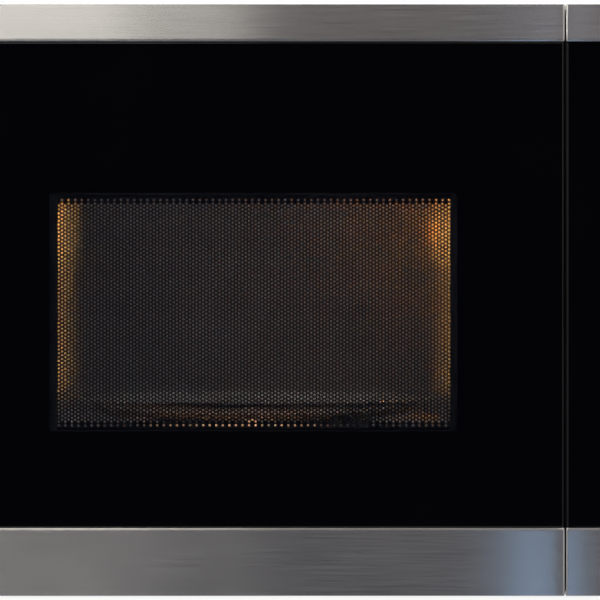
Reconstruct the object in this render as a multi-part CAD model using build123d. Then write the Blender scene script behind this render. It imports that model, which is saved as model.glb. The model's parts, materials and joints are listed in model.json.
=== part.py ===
from build123d import *
from math import asin, degrees, pi
import os

# Built-in microwave oven, millimetres. +X to the right seen from the front, +Y to the back, +Z up.
# The origin is the middle of the whole part's footprint, on the shelf that it stands on.

# Front
front_width = 595.0
front_height = 390.0
front_depth = 22.0  # from the cabinet's front edges to the face of the steel strips
shelf_clearance = 1.0  # lower edge of the door above the shelf
control_width = 164.0
split_gap = 1.0
top_strip_height = 24.6
bottom_strip_height = 44.8
strip_sheet = 0.8
strip_edge_radius = 1.7
strip_depth = 12.0
button_depth = 9.0
glass_recess = 1.2
glass_thickness = 3.2
glass_chamfer = 0.8
glass_gap = 0.3
seat_gap = 0.3

# Window and oven
window_height = 157.5
window_from_hinge_side = 89.7  # door's outer edge to the window
window_from_split = 70.3  # window to the door's free edge
window_above_edge = 187.0  # window's middle above the front's lower edge
cavity_beyond_window = 20.0  # at each side
cavity_height = 200.0
cavity_depth = 290.0
cavity_above_shelf = 100.0
cavity_radius = 14.0
cavity_wall = 1.0
cavity_flange = 8.0

# Housing
body_width = front_width - 39.0  # the front covers the niche's edges
body_depth = 320.0
body_top = front_height - 18.0
foot_height = 5.0
foot_radius = 10.0
foot_inset = 28.0
cover_sheet = 1.0
cover_radius = 5.0
cover_flange = 11.0
cover_press = 1.5  # depth of the pressed fields that stiffen the cover
press_margin = 24.0  # from the cover's edges to its pressed fields
press_radius = 12.0
vent_width = 3.2
front_sheet = 1.2
base_rim = 8.0
rear_rim = 9.0
panel_step = 4.0  # inward step of the rear panel's field
gland_reach = 8.0

# Door
frame_wall = 2.0
frame_depth = 14.0  # from the strips' face to the rear of the moulded frame
back_sheet = 0.8
choke_overlap = 30.0
choke_front = 7.0
choke_rear = 19.0
choke_sheet = 0.8
choke_lip = 9.0
fin_pitch = 21.0
fin_slot = 3.0
cover_plastic = 0.9
screen_sheet = 0.5
inner_window_thickness = 1.0
hinge_inset = 7.5  # hinge axis from the door's outer edge
hinge_back = 9.5  # hinge axis behind the strips' face
hinge_pin_radius = 2.5
hinge_arm = 3.0
hinge_arm_half = 4.0
hinge_leaf = 1.5
hinge_leaf_height = 34.0
running_gap = 0.05

# Latch and interlock
latch_x_inset = 10.5  # hooks from the door's free edge
hook_thickness = 5.0
hook_height = 8.0
hook_reach = 25.0  # hook's tip behind the cabinet plane
nose_length = 7.4
nose_depth = 4.0
lower_hook_above_strip = 11.3
upper_hook_below_strip = 44.4
ledge_depth = 3.0
ledge_gap = 0.6
press_travel = 4.0
lift_travel = 5.0
lever_finger = 16.0
lever_tip_radius = 2.0
finger_width = 4.0
part_gap = 0.3

# Controls
knob_reach = 18.0
knob_radius = 21.0
knob_height = front_height / 2 + 1.0
key_length = 30.0
key_width = 10.0
key_travel = 1.5
key_proud = 1.0
key_column = 23.0
key_rows = {"upper": knob_height + 66.0, "lower": knob_height - 68.0}
display_height = knob_height + 126.0
display_size = (66.0, 24.0)

# Turntable
plate_to_wall = 27.5
plate_glass = 4.0
plate_rim_height = 12.0
roller_radius = 7.0
roller_width = 5.0
roller_inset = 39.5  # middle of a roller from the plate's edge
roller_pin_radius = 1.5
floor_gap = 0.3

# Fan
fan_radius = 46.0
fan_blades = 7
fan_below_top = 65.0  # fan's axis below the oven's ceiling
fan_from_cavity = 97.0
fan_depth = 22.0
shroud_depth = 46.0
duct_gap = 2.5

overall_depth = knob_reach + front_depth + body_depth + gland_reach
face_y = -overall_depth / 2 + knob_reach
cabinet_y = face_y + front_depth
rear_y = cabinet_y + body_depth
glass_y = face_y + glass_recess
frame_y = glass_y + glass_thickness
frame_back = face_y + frame_depth
door_back = frame_back + back_sheet
plate_front = cabinet_y - front_sheet

left_x = -front_width / 2
right_x = front_width / 2
control_x = right_x - control_width
door_right = control_x - split_gap
front_low = shelf_clearance
front_high = shelf_clearance + front_height
glass_low = front_low + bottom_strip_height
glass_high = front_high - top_strip_height

window_left = left_x + window_from_hinge_side
window_right = door_right - window_from_split
window_width = window_right - window_left
window_x = (window_left + window_right) / 2
window_z = front_low + window_above_edge
cavity_width = window_width + 2 * cavity_beyond_window
cavity_left = window_left - cavity_beyond_window
cavity_right = window_right + cavity_beyond_window
cavity_floor = cavity_above_shelf
cavity_top = cavity_floor + cavity_height
cavity_back = cabinet_y + cavity_depth
cavity_mid_y = cabinet_y + cavity_depth / 2

choke_left = cavity_left - choke_overlap
choke_right = cavity_right + choke_overlap
choke_low = cavity_floor - choke_overlap
choke_high = cavity_top + choke_overlap

hinge_x = left_x + hinge_inset
hinge_y = face_y + hinge_back
latch_x = door_right - latch_x_inset
lower_hook = glass_low + lower_hook_above_strip
upper_hook = glass_high - upper_hook_below_strip
press_angle = degrees(asin(lift_travel / lever_finger))
lever_arm = lever_finger * press_travel / lift_travel
side_x = body_width / 2
cover_low = foot_height - cover_sheet
base_top = foot_height + cover_sheet
wall_outer = cavity_right + cavity_wall
plate_radius = cavity_width / 2 - plate_to_wall
roller_circle = plate_radius - roller_inset
fan_x = cavity_right + fan_from_cavity
fan_height = cavity_top - fan_below_top
duct_radius = fan_radius + duct_gap


def block(x, y, z):
    # box between a low and a high end along each axis
    sides = [ends[1] - ends[0] for ends in (x, y, z)]
    middle = [(ends[0] + ends[1]) / 2 for ends in (x, y, z)]
    return Pos(*middle) * Box(*sides)


def about(middle, size):
    # low and high ends of a length centred on a point
    return (middle - size / 2, middle + size / 2)


def rod(start, direction, radius, length):
    # round bar from a point along a direction
    return extrude(Plane(origin=start, z_dir=direction) * Circle(radius), length)


def tube(start, direction, outer, inner, length):
    ring = Circle(outer) - Circle(inner)
    return extrude(Plane(origin=start, z_dir=direction) * ring, length)


def rounded_plate(x, y, z, radius):
    # slab facing the front, corners rounded about Y
    return fillet(block(x, y, z).edges().filter_by(Axis.Y), radius)


def stadium(x, z, y, length, width):
    # slab facing the front with round ends, its length along X
    outline = SlotOverall(length, width)
    return extrude(Plane(origin=(x, y[0], z), x_dir=(1, 0, 0), z_dir=(0, 1, 0)) * outline, y[1] - y[0])


def joined(pieces):
    return Compound(children=list(pieces))


def write(name, shape):
    export_step(shape, f"parts/{name}.step")


# Oven

def cavity():
    def lining(growth):
        body = block(
            (cavity_left - growth, cavity_right + growth),
            (cabinet_y, cavity_back + growth),
            (cavity_floor - growth, cavity_top + growth),
        )
        sides = body.edges().filter_by(Axis.Y)
        rear = body.faces().sort_by(Axis.Y)[-1].edges()
        return fillet(sides + rear, cavity_radius + growth)

    flange = rounded_plate(
        (cavity_left - cavity_flange, cavity_right + cavity_flange),
        (cabinet_y, cabinet_y + cavity_wall),
        (cavity_floor - cavity_flange, cavity_top + cavity_flange),
        cavity_radius + cavity_flange,
    )
    body = lining(cavity_wall) + flange - lining(0)
    body -= rod((window_x, cavity_mid_y, cavity_floor - 2 * cavity_wall), (0, 0, 1), shaft_hole, 3 * cavity_wall)
    body -= waveguide_window(cavity_right - cavity_wall, wall_outer + cavity_wall)
    return body


shaft_hole = 6.0
guide_y = cavity_mid_y - 5.0
guide_width = 84.0
guide_depth = 36.0
guide_high = cavity_top - 10.0
guide_low = guide_high - 140.0
guide_flange = 8.0
guide_window_z = (guide_low + 10.0, guide_low + 54.0)
guide_window_width = 74.0
antenna_z = guide_high - 34.0
antenna_hole = 15.0
mica = 0.6


def waveguide_window(x0, x1):
    return block((x0, x1), about(guide_y, guide_window_width), guide_window_z)


def waveguide():
    z = (guide_low, guide_high)
    outside = block((wall_outer, wall_outer + guide_depth), about(guide_y, guide_width), z)
    outside = fillet(outside.edges().filter_by(Axis.X), 4)
    inside = block(
        (wall_outer - cavity_wall, wall_outer + guide_depth - cavity_wall),
        about(guide_y, guide_width - 2 * cavity_wall),
        (guide_low + cavity_wall, guide_high - cavity_wall),
    )
    inside = fillet(inside.edges().filter_by(Axis.X), 3)
    flange = block(
        (wall_outer, wall_outer + cavity_wall),
        about(guide_y, guide_width + 2 * guide_flange),
        (guide_low - guide_flange, guide_high - cavity_wall),
    )
    hole = rod((wall_outer + guide_depth / 2, guide_y, antenna_z), (1, 0, 0), antenna_hole, guide_depth)
    return outside + flange - inside - hole


def waveguide_cover():
    sheet = block((cavity_right - mica, cavity_right), about(guide_y, guide_window_width + 12),
                  (guide_window_z[0] - 8, guide_window_z[1] + 8))
    return fillet(sheet.edges().filter_by(Axis.X), 5)


def turntable_plate():
    low = plate_low
    well = plate_radius - 22
    rim = plate_radius
    outline = Polyline(
        (0, low), (well, low), (rim - 2, low + plate_rim_height - 3), (rim, low + plate_rim_height - 3),
        (rim, low + plate_rim_height), (rim - 4, low + plate_rim_height), (well - 2, low + plate_glass),
        (0, low + plate_glass), (0, low),
    )
    dish = revolve(Plane.XZ * make_face(outline), Axis.Z)
    dish = Pos(window_x, cavity_mid_y, 0) * dish
    socket = lug_prism(coupler_reach + part_gap, lug_width + 2 * part_gap, plate_low - 1, plate_low + lug_depth)
    return dish - socket


plate_low = cavity_floor + 2 * floor_gap + 2 * roller_radius
coupler_reach = 19.0
lug_width = 8.0
lug_depth = 2.0
coupler_height = 6.0
motor_top = cavity_floor - cavity_wall
shaft_radius = 3.5


def lug_prism(reach, width, z0, z1):
    # three-armed star about the turntable's axis
    arm = block((0, reach), about(0, width), (z0, z1))
    arms = [Pos(window_x, cavity_mid_y, 0) * Rot(0, 0, 120 * turn) * arm for turn in range(3)]
    return arms[0] + arms[1] + arms[2]


def turntable_coupler():
    top = plate_low + lug_depth - part_gap
    star = lug_prism(coupler_reach, lug_width, plate_low - coupler_height, top)
    hub = rod((window_x, cavity_mid_y, cavity_floor + 2 * part_gap), (0, 0, 1), 9,
              plate_low - part_gap - cavity_floor - 2 * part_gap)
    shaft = rod((window_x, cavity_mid_y, motor_top - 9), (0, 0, 1), shaft_radius, 12)
    return star + hub + shaft


def turntable_motor():
    can = rod((window_x, cavity_mid_y, motor_top - 19), (0, 0, 1), 24.5, 17)
    can = fillet(can.edges().sort_by(Axis.Z)[0], 2)
    ears = block(about(window_x, 68), about(cavity_mid_y, 12), (motor_top - 2, motor_top))
    ears = fillet(ears.edges().filter_by(Axis.Z), 5)
    terminals = block(about(window_x, 14), (cavity_mid_y + 22, cavity_mid_y + 33), (motor_top - 14, motor_top - 8))
    bore = rod((window_x, cavity_mid_y, motor_top - 12), (0, 0, 1), shaft_radius + running_gap, 13)
    return can + ears + terminals - bore


def roller_place(turn):
    angle = 2 * pi * turn / 3 + pi / 6
    return Pos(window_x, cavity_mid_y, roller_z) * Rot(0, 0, degrees(angle))


roller_z = cavity_floor + floor_gap + roller_radius
ring_height = 6.0
ring_width = 7.0


def roller_ring():
    low, high = -ring_height / 2, ring_height / 2
    inner = roller_circle - roller_width / 2 - part_gap - ring_width
    ring = tube((0, 0, low), (0, 0, 1), inner + ring_width, inner, ring_height)
    hub = tube((0, 0, low), (0, 0, 1), 24, 21, ring_height)
    body = ring + hub
    for turn in range(3):
        spoke = block((22, inner + 1), about(0, 5), (low, high))
        body += Rot(0, 0, 120 * turn + 90) * spoke
        pin = rod((inner + ring_width - 1, 0, 0), (1, 0, 0), roller_pin_radius, roller_width + 2 * part_gap + 2)
        collar = rod((inner + ring_width + roller_width + 2 * part_gap, 0, 0), (1, 0, 0), 2.6, 1.2)
        body += Rot(0, 0, 120 * turn + 30) * (pin + collar)
    return Pos(window_x, cavity_mid_y, roller_z) * body


def roller(turn):
    start = roller_circle - roller_width / 2
    wheel = rod((start, 0, 0), (1, 0, 0), roller_radius, roller_width)
    wheel = chamfer(wheel.edges().filter_by(GeomType.CIRCLE), 0.8)
    bore = rod((start - 1, 0, 0), (1, 0, 0), roller_pin_radius + running_gap, roller_width + 2)
    return roller_place(turn) * (wheel - bore)


# Front plate and hinge

screw_hole = 2.25
screw_spacing = cavity_width - 10.0
screw_z = front_high - 7.0
pin_guide_radius = 4.0
guide_pin_x = (control_x + 30, right_x - 26)
guide_pin_z = front_low + bottom_strip_height / 2
rod_size = 6.0
lever_arm_x = control_x + 7.5


def front_plate():
    margin = 1.0
    sheet = rounded_plate((left_x + margin, right_x - margin), (plate_front, cabinet_y),
                          (front_low + margin, front_high - margin), 2)
    mouth = rounded_plate((cavity_left, cavity_right), (plate_front - 1, cabinet_y + 1),
                          (cavity_floor, cavity_top), cavity_radius)
    sheet -= mouth
    for z in (lower_hook, upper_hook):
        sheet -= hook_slot(z, (plate_front - 1, cabinet_y + 1))
    for side in (-1, 1):
        x = window_x + side * screw_spacing / 2
        sheet -= rod((x, plate_front - 1, screw_z), (0, 1, 0), screw_hole, 2 * front_sheet + 1)
    for x in guide_pin_x:
        sheet -= rod((x, plate_front - 1, guide_pin_z), (0, 1, 0), pin_guide_radius + seat_gap, 2 * front_sheet + 1)
    sheet -= block(about(lever_arm_x, rod_size + 2), (plate_front - 1, cabinet_y + 1), about(rod_z, rod_size + 2))
    return sheet


def hook_slot(z, y):
    # room for a hook at rest, lifted, and swinging out with the door
    low = z - nose_depth - 1
    high = z + hook_height + lift_travel + 1
    return block((latch_x - hook_thickness / 2 - 1.5, latch_x + hook_thickness / 2 + 4), y, (low, high))


def hinge_arm_levels():
    # lower face of each arm: just above the bottom strip and just below the top strip
    return (glass_low + 6, glass_high - 6 - hinge_arm)


def hinge_brackets():
    brackets = []
    for level, upward, leaf_side in zip(hinge_arm_levels(), (1, -1), (1, -1)):
        leaf_z = sorted((level, level + hinge_arm))
        mid = sum(leaf_z) / 2 + leaf_side * (hinge_leaf_height - hinge_arm) / 2
        leaf = block((left_x + 1.5, hinge_x + 9), (plate_front - hinge_leaf, plate_front),
                     about(mid, hinge_leaf_height))
        arm = block(about(hinge_x, 2 * hinge_arm_half), (hinge_y, plate_front), leaf_z)
        arm += rod((hinge_x, hinge_y, leaf_z[0]), (0, 0, 1), hinge_arm_half, hinge_arm)
        start = leaf_z[1] if upward > 0 else leaf_z[0]
        pin = rod((hinge_x, hinge_y, start), (0, 0, upward), hinge_pin_radius, pin_length)
        brackets.append(leaf + arm + pin)
    return joined(brackets)


pin_length = 11.0


# Housing

def vent_rows(columns, rows, across, up):
    # centres of a grid of slots about (0, 0)
    for i in range(columns):
        for k in range(rows):
            yield ((i - (columns - 1) / 2) * across, (k - (rows - 1) / 2) * up)


def pressed_fields(growth):
    # a field in the top and one in each side, as far as the sheet is moved inwards there
    depth = cover_press + growth
    y = (cabinet_y + press_margin - growth, rear_y - press_margin + growth)
    top = block((-side_x + press_margin - growth, side_x - press_margin + growth), y, (body_top - depth, body_top + 1))
    fields = [fillet(top.edges().filter_by(Axis.Z), press_radius + growth)]
    z = (cover_low + press_margin - growth, body_top - press_margin + growth)
    for x in ((-side_x - 1, -side_x + depth), (side_x - depth, side_x + 1)):
        side = block(x, y, z)
        fields.append(fillet(side.edges().filter_by(Axis.X), press_radius + growth))
    return fields


def outer_cover():
    outside = block((-side_x, side_x), (cabinet_y, rear_y), (cover_low, body_top))
    corners = [e for e in outside.edges().filter_by(Axis.Y) if e.center().Z > body_top - 1]
    outside = fillet(corners, cover_radius)
    inside = block((-side_x + cover_sheet, side_x - cover_sheet), (cabinet_y - 1, rear_y + 1),
                   (cover_low + cover_sheet, body_top - cover_sheet))
    corners = [e for e in inside.edges().filter_by(Axis.Y) if e.center().Z > body_top - 2 * cover_sheet]
    inside = fillet(corners, cover_radius - cover_sheet)
    cover = (outside - pressed_fields(0)) - (inside - pressed_fields(cover_sheet))
    cover -= block((-side_x + cover_flange, side_x - cover_flange), (cabinet_y - 1, rear_y + 1),
                   (cover_low - 1, cover_low + 2 * cover_sheet))
    slots = []
    for across, up in vent_rows(12, 2, 8, 44):
        y = rear_y - 90 + across
        z = body_top - 130 + up
        for side in (-1, 1):
            slots.append(block(about(side * side_x, 8), about(y, vent_width), about(z, 34)))
    for across, _ in vent_rows(20, 1, 9, 0):
        slots.append(block(about(fan_x + 20 + across - 60, vent_width), (rear_y - 110, rear_y - 60), about(body_top, 8)))
    return cover - slots


def base_plate():
    x = side_x - cover_sheet - seat_gap
    y = (cabinet_y + seat_gap, rear_y - cover_sheet - seat_gap)
    sheet = block((-x, x), y, (foot_height, foot_height + cover_sheet))
    edge = block((-x, x), y, (foot_height, foot_height + base_rim))
    edge -= block((-x + cover_sheet, x - cover_sheet), (y[0] + cover_sheet, y[1] - cover_sheet),
                  (foot_height - 1, foot_height + base_rim + 1))
    body = sheet + edge
    slots = []
    for across, up in vent_rows(14, 2, 9, 46):
        slots.append(block(about(transformer_x - 17 + across, vent_width), about(cavity_back - 40 + up, 38), (0, 2 * foot_height)))
    for across, up in vent_rows(16, 1, 9, 0):
        slots.append(block(about(window_x - 67 + across, vent_width), about(cavity_mid_y + 5 + up, 40), (0, 2 * foot_height)))
    return body - slots


def feet():
    pads = []
    for x in (-side_x + foot_inset, side_x - foot_inset):
        for y in (cabinet_y + foot_inset, rear_y - foot_inset):
            pad = rod((x, y, 0), (0, 0, 1), foot_radius, foot_height)
            pads.append(chamfer(pad.edges().sort_by(Axis.Z)[0], 0.8))
    return joined(pads)


gland_x = side_x - 28.0
gland_z = body_top - 40.0
gland_radius = 4.0


def rear_panel():
    x = side_x - cover_sheet - seat_gap
    z = (base_top + seat_gap, body_top - cover_sheet - seat_gap)
    back = (rear_y - cover_sheet, rear_y)
    sheet = block((-x, x), back, z)
    sheet = fillet([e for e in sheet.edges().filter_by(Axis.Y) if e.center().Z > z[1] - 1], cover_radius)
    well = block((-x + rear_rim + cover_sheet, x - rear_rim - cover_sheet), (back[0] - panel_step + cover_sheet, back[1] + 1),
                 (z[0] + rear_rim + cover_sheet, z[1] - rear_rim - cover_sheet))
    slots = []
    for across, up in vent_rows(12, 3, 8.5, 34):
        slots.append(block(about(fan_x + across, 3.4), about(back[0] - 3, 6), about(fan_height + up, 28)))
    for across, up in vent_rows(14, 2, 9, 42):
        slots.append(block(about(window_x - 77 + across, 3.4), about(back[0] - 3, 6), about(cavity_top - 40 + up, 34)))
    hole = rod((gland_x, back[0] - 6, gland_z), (0, 1, 0), 8, 10)
    frame = block((-x + rear_rim, x - rear_rim), (back[0] - panel_step, back[1]), (z[0] + rear_rim, z[1] - rear_rim))
    return sheet + frame - well - slots - hole


def mains_gland():
    panel = rear_y - panel_step
    body = rod((gland_x, panel - 7, gland_z), (0, 1, 0), 8 - seat_gap, rear_y + gland_reach - panel + 7)
    inner_nut = rod((gland_x, panel - 6.2, gland_z), (0, 1, 0), 11.5, 5)
    body += inner_nut
    outer = rod((gland_x, panel + cover_sheet + 0.2, gland_z), (0, 1, 0), 11.0, 5)
    body += outer
    body = body.fillet(0.8, body.edges().filter_by(GeomType.CIRCLE).sort_by(Axis.Y)[-1:])
    return body - rod((gland_x, panel - 9, gland_z), (0, 1, 0), gland_radius, 40)


def cover_screws():
    screws = []
    for x in (-side_x + 8, -side_x / 3, side_x / 3, side_x - 8):
        for z in (base_top + 6, body_top - 7):
            head = rod((x, rear_y, z), (0, 1, 0), 3.4, 2)
            screws.append(fillet(head.edges().sort_by(Axis.Y)[-1], 1.2))
    return joined(screws)


# Power and cooling

magnetron_x = wall_outer + guide_depth
yoke_size = (68.0, 86.0, 90.0)
yoke_sheet = 2.0
magnet = 12.0


def magnetron_yoke():
    x = (magnetron_x, magnetron_x + yoke_size[0])
    outside = block(x, about(guide_y, yoke_size[1]), about(antenna_z, yoke_size[2]))
    inside = block((x[0] + yoke_sheet, x[1] - yoke_sheet), about(guide_y, yoke_size[1] + 2),
                   about(antenna_z, yoke_size[2] - 2 * yoke_sheet))
    body = outside - inside
    body -= rod((x[0] - 1, guide_y, antenna_z), (1, 0, 0), antenna_hole, yoke_sheet + 2)
    body -= rod((x[1] - yoke_sheet - 1, guide_y, antenna_z), (1, 0, 0), antenna_hole, yoke_sheet + 2)
    return body


def magnetron_anode():
    start = magnetron_x + yoke_sheet
    span = yoke_size[0] - 2 * yoke_sheet
    core = rod((start + magnet - 0.2, guide_y, antenna_z), (1, 0, 0), 19, span - 2 * magnet + 0.4)
    for ring in (start, start + span - magnet):
        core += tube((ring, guide_y, antenna_z), (1, 0, 0), 27, 8, magnet)
    stem = rod((wall_outer + 10, guide_y, antenna_z), (1, 0, 0), 7, guide_depth + 16)
    stem = fillet(stem.edges().sort_by(Axis.X)[0], 2)
    core += stem
    fins = 7
    for fin in range(fins):
        x = start + 15 + fin * (span - 30) / (fins - 1)
        core += block(about(x, 0.9), about(guide_y, yoke_size[1] - 6), about(antenna_z, yoke_size[2] - 2 * yoke_sheet - 1))
    return core


def magnetron_filter_box():
    x = (magnetron_x + yoke_size[0], magnetron_x + yoke_size[0] + 32)
    box = block(x, about(guide_y, 62), about(antenna_z, 62))
    box = fillet(box.edges().filter_by(Axis.X), 3)
    terminal = block(about(x[0] + 16, 14), about(guide_y + 38, 14), about(antenna_z, 26))
    return box + terminal


transformer_y = cavity_mid_y + 5.0
transformer_x = wall_outer + 104.0
core_size = (96.0, 50.0, 80.0)
leg = 16.0


def transformer_core():
    base = base_top
    plate = block(about(transformer_x, 112), about(transformer_y, core_size[1] + 20), (base, base + 2))
    x = about(transformer_x, core_size[0])
    z = (base + 2, base + 2 + core_size[2])
    core = block(x, about(transformer_y, core_size[1]), z)
    for side in (-1, 1):
        window = about(transformer_x + side * (core_size[0] / 4), core_size[0] / 2 - 2 * leg)
        core -= block(window, about(transformer_y, core_size[1] + 2), (z[0] + leg, z[1] - leg))
    return core + plate


def transformer_windings():
    low = base_top + 2 + leg + part_gap
    room = core_size[2] - 2 * leg - 2 * part_gap
    spread = core_size[0] / 2 - 2 * leg
    coils = []
    for z0, share in ((low, 0.46), (low + room * 0.54, 0.46)):
        coil = block(about(transformer_x, 2 * leg + 2 * spread - 2 * part_gap),
                     about(transformer_y, core_size[1] + 2 * spread), (z0, z0 + room * share))
        coil = fillet(coil.edges().filter_by(Axis.Z), spread * 0.8)
        hole = block(about(transformer_x, 2 * leg + 2 * part_gap), about(transformer_y, core_size[1] + 2 * part_gap),
                     (z0 - 1, z0 + room))
        coils.append(coil - hole)
    return joined(coils)


capacitor_x = transformer_x + 6
capacitor_y = transformer_y + 82.0


def capacitor():
    can = extrude(Plane(origin=(capacitor_x, capacitor_y, base_top + 2)) * SlotOverall(54, 34), 78)
    can = fillet(can.edges().sort_by(Axis.Z)[-2:], 2)
    for side in (-1, 1):
        can += block(about(capacitor_x + side * 10, 6), about(capacitor_y, 1), (base_top + 79, base_top + 94))
    return can


def capacitor_clamp():
    band = extrude(Plane(origin=(capacitor_x, capacitor_y, base_top + 2)) * SlotOverall(57.2, 37.2), 22)
    band -= extrude(Plane(origin=(capacitor_x, capacitor_y, base_top)) * SlotOverall(54.8, 34.8), 26)
    foot = block(about(capacitor_x, 80), about(capacitor_y, 20), (base_top, base_top + 2))
    return band + foot


def fan_shroud():
    front = rear_y - cover_sheet - panel_step - shroud_depth
    size = 2 * (fan_radius + 14)
    plane = Plane(origin=(fan_x, front, fan_height), x_dir=(1, 0, 0), z_dir=(0, 1, 0))
    wall = RectangleRounded(size, size, 8) - Circle(duct_radius) + Rectangle(2 * duct_radius + 2, 20) - Circle(6)
    rim = RectangleRounded(size, size, 8) - RectangleRounded(size - 6, size - 6, 5)
    duct = Circle(duct_radius + 2.5) - Circle(duct_radius)
    body = extrude(plane * wall, 3)
    body += extrude(plane.offset(2.5) * rim, shroud_depth - 2.5)
    return body + extrude(plane.offset(2.5) * duct, shroud_depth - 2.5)


def fan_motor():
    front = rear_y - cover_sheet - panel_step - shroud_depth
    stack = block(about(fan_x, 58), (front - 18, front), about(fan_height - 6, 62))
    stack = fillet(stack.edges().filter_by(Axis.Y), 4)
    coil = block(about(fan_x, 34), (front - 30, front), about(fan_height - 26, 20))
    coil = fillet(coil.edges().filter_by(Axis.Y), 5)
    bearing = rod((fan_x, front - 24, fan_height), (0, 1, 0), 9, 24)
    nose = rod((fan_x, front, fan_height), (0, 1, 0), 6 - seat_gap, 5)
    bore = rod((fan_x, front - 20, fan_height), (0, 1, 0), 2 + running_gap, 40)
    return stack + coil + bearing + nose - bore


def fan_impeller():
    start = rear_y - cover_sheet - panel_step - shroud_depth + 9
    hub = rod((fan_x, start, fan_height), (0, 1, 0), 15, fan_depth)
    hub = fillet(hub.edges().sort_by(Axis.Y)[-1], 4)
    spindle = rod((fan_x, start - 24, fan_height), (0, 1, 0), 2, 25)
    body = hub + spindle
    for blade in range(fan_blades):
        turn = 360 * blade / fan_blades
        root = Plane(origin=(0, 0, 12), x_dir=(1, 0, 0), z_dir=(0, 0, 1)).rotated((0, 0, 38)) * Rectangle(22, 1.6)
        tip = Plane(origin=(0, 0, fan_radius), x_dir=(1, 0, 0), z_dir=(0, 0, 1)).rotated((0, 0, 62)) * Rectangle(26, 1.2)
        vane = loft([root, tip])
        vane = Pos(fan_x, start + fan_depth / 2, fan_height) * Rot(0, turn, 0) * vane
        body += vane
    return body


lamp_y = cavity_back - 54.0
lamp_z = cavity_top - 38.0


def lamp_socket():
    x = wall_outer
    plate = block((x, x + 1), about(lamp_y, 44), about(lamp_z, 48))
    plate -= rod((x - 1, lamp_y, lamp_z), (1, 0, 0), 13, 4)
    arm = block((x, x + 24), about(lamp_y, 18), (lamp_z + 22, lamp_z + 24))
    holder = tube((x + 16, lamp_y, lamp_z), (1, 0, 0), 10, 7.2, 15)
    cap = rod((x + 30, lamp_y, lamp_z), (1, 0, 0), 10, 4)
    web = block((x + 17, x + 24), about(lamp_y, 6), (lamp_z + 8, lamp_z + 23))
    return plate + arm + holder + cap + web


def lamp_bulb():
    x = wall_outer + 4
    outline = Polyline((0, 0), (4, 0.6), (7.5, 3), (9, 7), (7.2, 11.4), (6.9, 13), (6.9, 25.7), (0, 25.7), (0, 0))
    bulb = revolve(Plane.XY * make_face(outline), Axis.Y)
    return Pos(x, lamp_y, lamp_z) * Rot(0, 0, -90) * bulb


filter_lift = 10.0  # board above the oven
filter_headroom = 14.0  # board below the housing's top
filter_length = 60.0


def filter_board():
    # hangs from the rear panel on four posts, in the room left above the oven
    panel = rear_y - cover_sheet - panel_step
    x = about(cavity_right, filter_length)
    z = (cavity_top + filter_lift, body_top - filter_headroom)
    middle = (z[0] + z[1]) / 2
    board = block(x, (panel - 9.6, panel - 8), z)
    for post_x in (x[0] + 5, x[1] - 5):
        for post_z in (z[0] + 5, z[1] - 5):
            board += rod((post_x, panel - 9, post_z), (0, 1, 0), 3, 9)
    choke = rod((x[0] + 22, panel - 28, middle), (0, 1, 0), 12, 19)
    choke -= rod((x[0] + 22, panel - 29, middle), (0, 1, 0), 5, 18)
    fuse = rod((x[1] - 26, panel - 12.4, z[1] - 6), (1, 0, 0), 3.2, 22)
    relay = block((x[1] - 22, x[1] - 8), (panel - 24, panel - 9), (z[0] + 4, z[0] + 20))
    return board + choke + fuse + relay


def thermal_cutouts():
    discs = []
    for base, direction in (
        ((window_x + 60, cavity_mid_y + 5, cavity_top + cavity_wall), (0, 0, 1)),
        ((magnetron_x + 36, guide_y, antenna_z + yoke_size[2] / 2), (0, 0, 1)),
    ):
        disc = rod(base, direction, 8, 8)
        ears = block(about(base[0], 34), about(base[1], 10), (base[2], base[2] + 1.2))
        tabs = block(about(base[0], 10), about(base[1], 0.8), (base[2] + 7, base[2] + 16))
        discs.append(disc + ears + tabs)
    return joined(discs)


# Interlock

nose_low = lower_hook - nose_depth
lever_z = nose_low - part_gap - lever_tip_radius
lever_y = cabinet_y + 6.0
rod_z = lever_z - lever_arm
web_x = latch_x + 7.0
switch_front = cabinet_y + hook_reach + 2 * part_gap + 1.0


def interlock_bracket():
    foot_y = (cabinet_y, cabinet_y + 2)
    left = latch_x - 12
    right = lever_arm_x + 8
    foot = block((left, right), foot_y, (rod_z - 9, upper_hook + 24))
    for z in (lower_hook, upper_hook):
        foot -= hook_slot(z, (cabinet_y - 1, cabinet_y + 3))
    foot -= block(about(lever_arm_x, rod_size + 2), (cabinet_y - 1, cabinet_y + 3), about(rod_z, rod_size + 2))
    foot -= block((left - 1, right + 1), (cabinet_y + 1.5, cabinet_y + 9), about(lever_z, 11))
    web = block((web_x, web_x + 2), (cabinet_y + 1, switch_front + 17), (lever_z + 14, upper_hook + 24))
    web += block((web_x, web_x + 2), (switch_front, switch_front + 17), (lever_z - 6, lever_z + 20))
    body = foot + web
    for z in (lower_hook, upper_hook):
        ledge_back = cabinet_y + hook_reach - nose_length - ledge_gap
        ledge = block((latch_x - 6, web_x + 1), (ledge_back - ledge_depth, ledge_back),
                      (z - 8 - part_gap, z - part_gap))
        if z == lower_hook:
            ledge = block((left, latch_x - seat_gap), (ledge_back - ledge_depth, ledge_back), (z - 3.4, z - part_gap))
            ledge += block((left, left + 5), (cabinet_y + 1, ledge_back), (z - 1.4, z + 5))
        else:
            ledge += block((latch_x + 4, web_x + 1), (cabinet_y + 1, ledge_back), (z - 14, z - 8))
        body += ledge
    for x in (left, lever_arm_x + 4.5):
        lug = block((x, x + 2.4), (cabinet_y + 1.0, lever_y + 4.5), about(lever_z, 12))
        body += lug
    body -= rod((left - 1, lever_y, lever_z), (1, 0, 0), 2 + running_gap, right - left + 2)
    return body


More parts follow.
